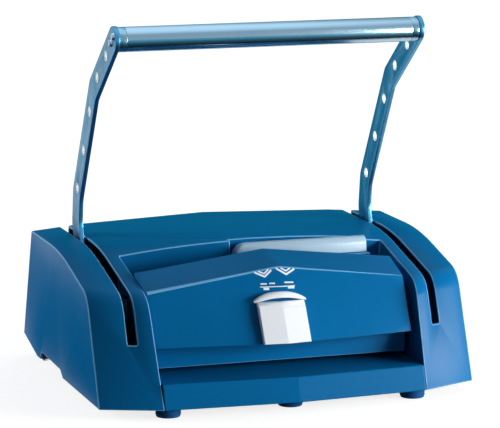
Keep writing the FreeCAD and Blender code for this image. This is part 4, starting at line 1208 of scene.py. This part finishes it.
@dataclass
class OpeningTool:
    """Loose tool that lies in the pocket behind the hood."""

    def build(self, shop: Workshop) -> None:
        """Round and finish the tool."""
        shop.soften("opening_tool", TOOL, Round.SOFT)


@dataclass
class Feet:
    """Rubber feet with a moulded bead, and their screws.

    Attributes:
        bead_mm: the height of a bead.
        bead_wall_mm: its width.
        bead_round_mm: the rounding of its edges.
        bead_inset_mm: how far its middle line lies inside the foot's edge.
        bead_rise_mm: how high its middle is over the desk.
    """

    bead_mm: float = 1.0
    bead_wall_mm: float = 1.4
    bead_round_mm: float = 0.3
    bead_inset_mm: float = 1.0
    bead_rise_mm: float = 3.2

    def build(self, shop: Workshop) -> None:
        """Finish the feet and put a bead round each.

        Args:
            shop: the workshop.
        """
        shop.soften("rubber_feet", RUBBER, Round.MOULDED)
        boxes = loose_boxes(shop.nodes["rubber_feet"])
        low, high = boxes[0]
        rise = self.bead_rise_mm * MM
        places = [Vector((0.5 * (a.x + b.x), 0.5 * (a.y + b.y), a.z + rise)) for a, b in boxes]
        beads = shop.rings.run("foot_beads", places, shop.material(RUBBER), UPRIGHT,
                               {"Radius": 0.5 * (high.x - low.x) - self.bead_inset_mm * MM,
                                "Length": self.bead_mm * MM, "Wall": self.bead_wall_mm * MM,
                                "Rounding": self.bead_round_mm * MM})
        shop.add_on(beads, "root")
        shop.paint(SCREW, "foot_screws")
        shop.cap_screws("foot_screws", DOWNWARD)


@dataclass(frozen=True)
class Lamp:
    """A soft box; its place and size are in metres, and without gloss it doesn't show in reflections."""

    name: str
    place: Place
    size: Pair
    watts: float
    gloss: bool = True


@dataclass(frozen=True)
class Card:
    """A glowing sheet, no lamp, that only gloss can see, all in metres: it paints reflections of its colour
    onto the metal and plastic.

    Attributes:
        name: the name of the card.
        colour: its colour where it is bright.
        fade: the y where it is dim and the y where it is bright.
        least: how bright its dim end is.
        low: its lowest corner.
        high: its highest corner.
    """

    name: str
    colour: str
    fade: Pair
    least: float
    low: Place
    high: Place


@dataclass
class Studio:
    """Floor, lamps, cards and camera.

    Attributes:
        camera_at: where the camera stands, in metres.
        camera_yaw: its turn to the right, in degrees.
        camera_pitch: its look down, in degrees.
        lens_mm: its lens on a sensor of sensor_mm.
        sensor_mm: the width of the sensor.
        view_end: how far the camera sees.
        floor_half: half the floor's width.
        floor_colour: the floor's paper, which takes the shadow.
        floor_fade: how far out the floor's glow starts and ends its rise to white.
        floor_glow: that glow near the machine, as the camera sees it.
        floor_gloss: the floor's glow as gloss sees it.
        room_colour: the colour of the room's light.
        room_light: the room's light on dull surfaces.
        room_gloss: its brightness as gloss sees it, low down and overhead.
        room_rise: between which heights of the sky it changes.
        aim: the point that the lamps face.
        lamps: the soft boxes.
        cards: the glowing sheets before the machine, at its left and behind it, which paint reflections.
    """

    camera_at: Place = (-1.03095, -3.12762, 0.77402)
    camera_yaw: float = 18.392
    camera_pitch: float = 10.0
    lens_mm: float = 201.6
    sensor_mm: float = 36.0
    view_end: float = 100.0
    floor_half: float = 30.0
    floor_colour: str = "#B0B0B0"
    floor_fade: Pair = (0.7, 2.5)
    floor_glow: float = 0.8
    floor_gloss: float = 0.6
    room_colour: str = "#C4D8E8"
    room_light: float = 0.14
    room_gloss: Pair = (0.7, 1.6)
    room_rise: Pair = (0.62, 0.95)
    aim: Place = (0.0, 0.0, 0.12)
    lamps: tuple[Lamp, ...] = (
        Lamp("right_box", (1.75, -1.2, 0.4), (1.3, 0.7), 66.0),
        Lamp("overhead_box", (0.9, 0.8, 1.7), (1.6, 0.5), 9.5, gloss=False),
        Lamp("left_box", (-2.0, 1.1, 0.6), (0.8, 1.0), 34.0, gloss=False),
    )
    cards: tuple[Card, ...] = (
        Card("front_card", "#5FA6C2", (-0.3, -1.5), 0.04, (-3.0, -5.0, 0.003), (3.0, -0.15, 0.003)),
        Card("side_card", "#06304A", (0.0, 1.0), 0.5, (-1.0, -0.14, 0.003), (-0.25, 1.0, 0.003)),
        Card("back_card", "#1A90A8", (0.0, 0.6), 0.5, (-0.16, 0.62, 0.0), (1.1, 0.62, 0.75)),
    )

    def place_camera(self) -> None:
        """Stand the camera where the photograph was taken."""
        data = bpy.data.cameras.new("camera")
        data.lens = self.lens_mm
        data.sensor_width = self.sensor_mm
        data.sensor_fit = "HORIZONTAL"
        data.clip_end = self.view_end
        camera = bpy.data.objects.new("camera", data)
        camera.location = self.camera_at
        camera.rotation_euler = (math.radians(90 - self.camera_pitch), 0, math.radians(-self.camera_yaw))
        bpy.context.scene.collection.objects.link(camera)
        bpy.context.scene.camera = camera

    def flat(self, name: str, low: Place, high: Place, material: bpy.types.Material) -> bpy.types.Object:
        """Make one flat sheet of the studio, lying or standing along X.

        Args:
            name: the name of the sheet.
            low: its lowest corner, in metres.
            high: its highest corner.
            material: its material.

        Returns:
            The sheet.
        """
        corners = [low, (high[0], low[1], low[2]), high, (low[0], high[1], high[2])]
        mesh = bpy.data.meshes.new(name)
        mesh.from_pydata(corners, [], [(0, 1, 2, 3)])
        mesh.materials.append(material)
        sheet = mesh_object(name, mesh)
        return sheet

    def lay_floor(self) -> None:
        """Lay the floor of white paper: plain white far off, dimmer near the machine and in its gloss.

        It takes the machine's shadow, because only a part of its white is glow.
        """
        material = bpy.data.materials.new("white_paper_sweep")
        tree = cleared(material)
        rays = add(tree, "ShaderNodeLightPath")
        seen = add(tree, "ShaderNodeMath", {"operation": "MAXIMUM"},
                   links={0: rays.outputs["Is Camera Ray"], 1: rays.outputs["Is Transmission Ray"]})
        place = add(tree, "ShaderNodeTexCoord").outputs["Object"]
        away = add(tree, "ShaderNodeVectorMath", {"operation": "LENGTH"}, links={0: place})
        near, far = self.floor_fade
        rise = add(tree, "ShaderNodeMapRange",
                   values={"From Min": near, "From Max": far, "To Min": self.floor_glow},
                   links={"Value": away.outputs["Value"]})
        shown = add(tree, "ShaderNodeMath", {"operation": "MULTIPLY"},
                    links={0: seen.outputs[0], 1: rise.outputs[0]})
        strength = add(tree, "ShaderNodeMath", {"operation": "MULTIPLY_ADD"}, {1: self.floor_gloss},
                       {0: rays.outputs["Is Glossy Ray"], 2: shown.outputs[0]})
        paper = add(tree, "ShaderNodeBsdfDiffuse", values={"Color": linear(self.floor_colour)})
        glow = add(tree, "ShaderNodeEmission", values={"Color": WHITE},
                   links={"Strength": strength.outputs[0]})
        both = add(tree, "ShaderNodeAddShader", links={0: paper.outputs[0], 1: glow.outputs[0]})
        add(tree, "ShaderNodeOutputMaterial", links={"Surface": both.outputs[0]})
        half = self.floor_half
        self.flat("floor", (-half, -half, 0.0), (half, half, 0.0), material)

    def glowing(self, card: Card) -> bpy.types.Material:
        """Make the glow of a card, which paints its reflections: dim at one y and bright at another.

        Args:
            card: the card.

        Returns:
            The material.
        """
        # This glow, not lamplight, makes the card's painted reflections.
        material = bpy.data.materials.new(card.name + "_paper")
        tree = cleared(material)
        place = add(tree, "ShaderNodeTexCoord").outputs["Object"]
        y = add(tree, "ShaderNodeSeparateXYZ", links={0: place}).outputs["Y"]
        dim, bright = card.fade
        light = add(tree, "ShaderNodeMapRange",
                    values={"From Min": dim, "From Max": bright, "To Min": card.least}, links={"Value": y})
        glow = add(tree, "ShaderNodeEmission", values={"Color": linear(card.colour)},
                   links={"Strength": light.outputs["Result"]})
        add(tree, "ShaderNodeOutputMaterial", links={"Surface": glow.outputs[0]})
        return material

    def set_cards(self) -> None:
        """Set the glowing cards, hidden from all rays but gloss, so that they only paint reflections."""
        for card in self.cards:
            sheet = self.flat(card.name, card.low, card.high, self.glowing(card))
            sheet.visible_camera = False
            sheet.visible_diffuse = False
            sheet.visible_shadow = False
            sheet.visible_transmission = False

    def light_world(self) -> None:
        """Give a soft room light, with plain white behind the object."""
        world = bpy.data.worlds.new("studio")
        bpy.context.scene.world = world
        tree = cleared(world)
        rays = add(tree, "ShaderNodeLightPath")
        seen = add(tree, "ShaderNodeMath", {"operation": "MAXIMUM"},
                   links={0: rays.outputs["Is Camera Ray"], 1: rays.outputs["Is Transmission Ray"]})
        up = add(tree, "ShaderNodeSeparateXYZ",
                 links={0: add(tree, "ShaderNodeTexCoord").outputs["Generated"]}).outputs["Z"]
        gloss = add(tree, "ShaderNodeMapRange",
                    values={"From Min": self.room_rise[0], "From Max": self.room_rise[1],
                            "To Min": self.room_gloss[0], "To Max": self.room_gloss[1]},
                    links={"Value": up})
        strength = add(tree, "ShaderNodeMapRange", values={"To Min": self.room_light},
                       links={"Value": rays.outputs["Is Glossy Ray"], "To Max": gloss.outputs["Result"]})
        room = add(tree, "ShaderNodeBackground", values={"Color": linear(self.room_colour)},
                   links={"Strength": strength.outputs[0]})
        white = add(tree, "ShaderNodeBackground", values={"Color": WHITE, "Strength": 1.0})
        mix = add(tree, "ShaderNodeMixShader",
                  links={"Fac": seen.outputs[0], 1: room.outputs[0], 2: white.outputs[0]})
        add(tree, "ShaderNodeOutputWorld", links={"Surface": mix.outputs[0]})

    def hang(self, lamp: Lamp) -> None:
        """Hang one soft box, turned to the machine.

        Args:
            lamp: the soft box.
        """
        data = bpy.data.lights.new(lamp.name, "AREA")
        data.shape = "RECTANGLE"
        data.size, data.size_y = lamp.size
        data.energy = lamp.watts
        box = bpy.data.objects.new(lamp.name, data)
        place = Vector(lamp.place)
        box.location = place
        box.rotation_euler = (Vector(self.aim) - place).to_track_quat("-Z", "Y").to_euler()
        box.visible_glossy = lamp.gloss
        bpy.context.scene.collection.objects.link(box)

    def build(self) -> None:
        """Set up the whole studio."""
        bpy.context.scene.view_settings.view_transform = "Standard"
        self.place_camera()
        self.lay_floor()
        self.set_cards()
        self.light_world()
        for lamp in self.lamps:
            self.hang(lamp)


def main() -> None:
    """Build the studio, then every sub-assembly in order."""
    logging.basicConfig(level=logging.INFO, format="%(name)s %(message)s")
    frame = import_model()
    Studio().build()
    shop = Workshop(frame)
    for assembly in (Housing(), Hood(), Selector(), Lever(), Press(), OpeningTool(), Feet()):
        assembly.build(shop)
        LOG.info("%s done", type(assembly).__name__)


if __name__ == "__main__":
    main()
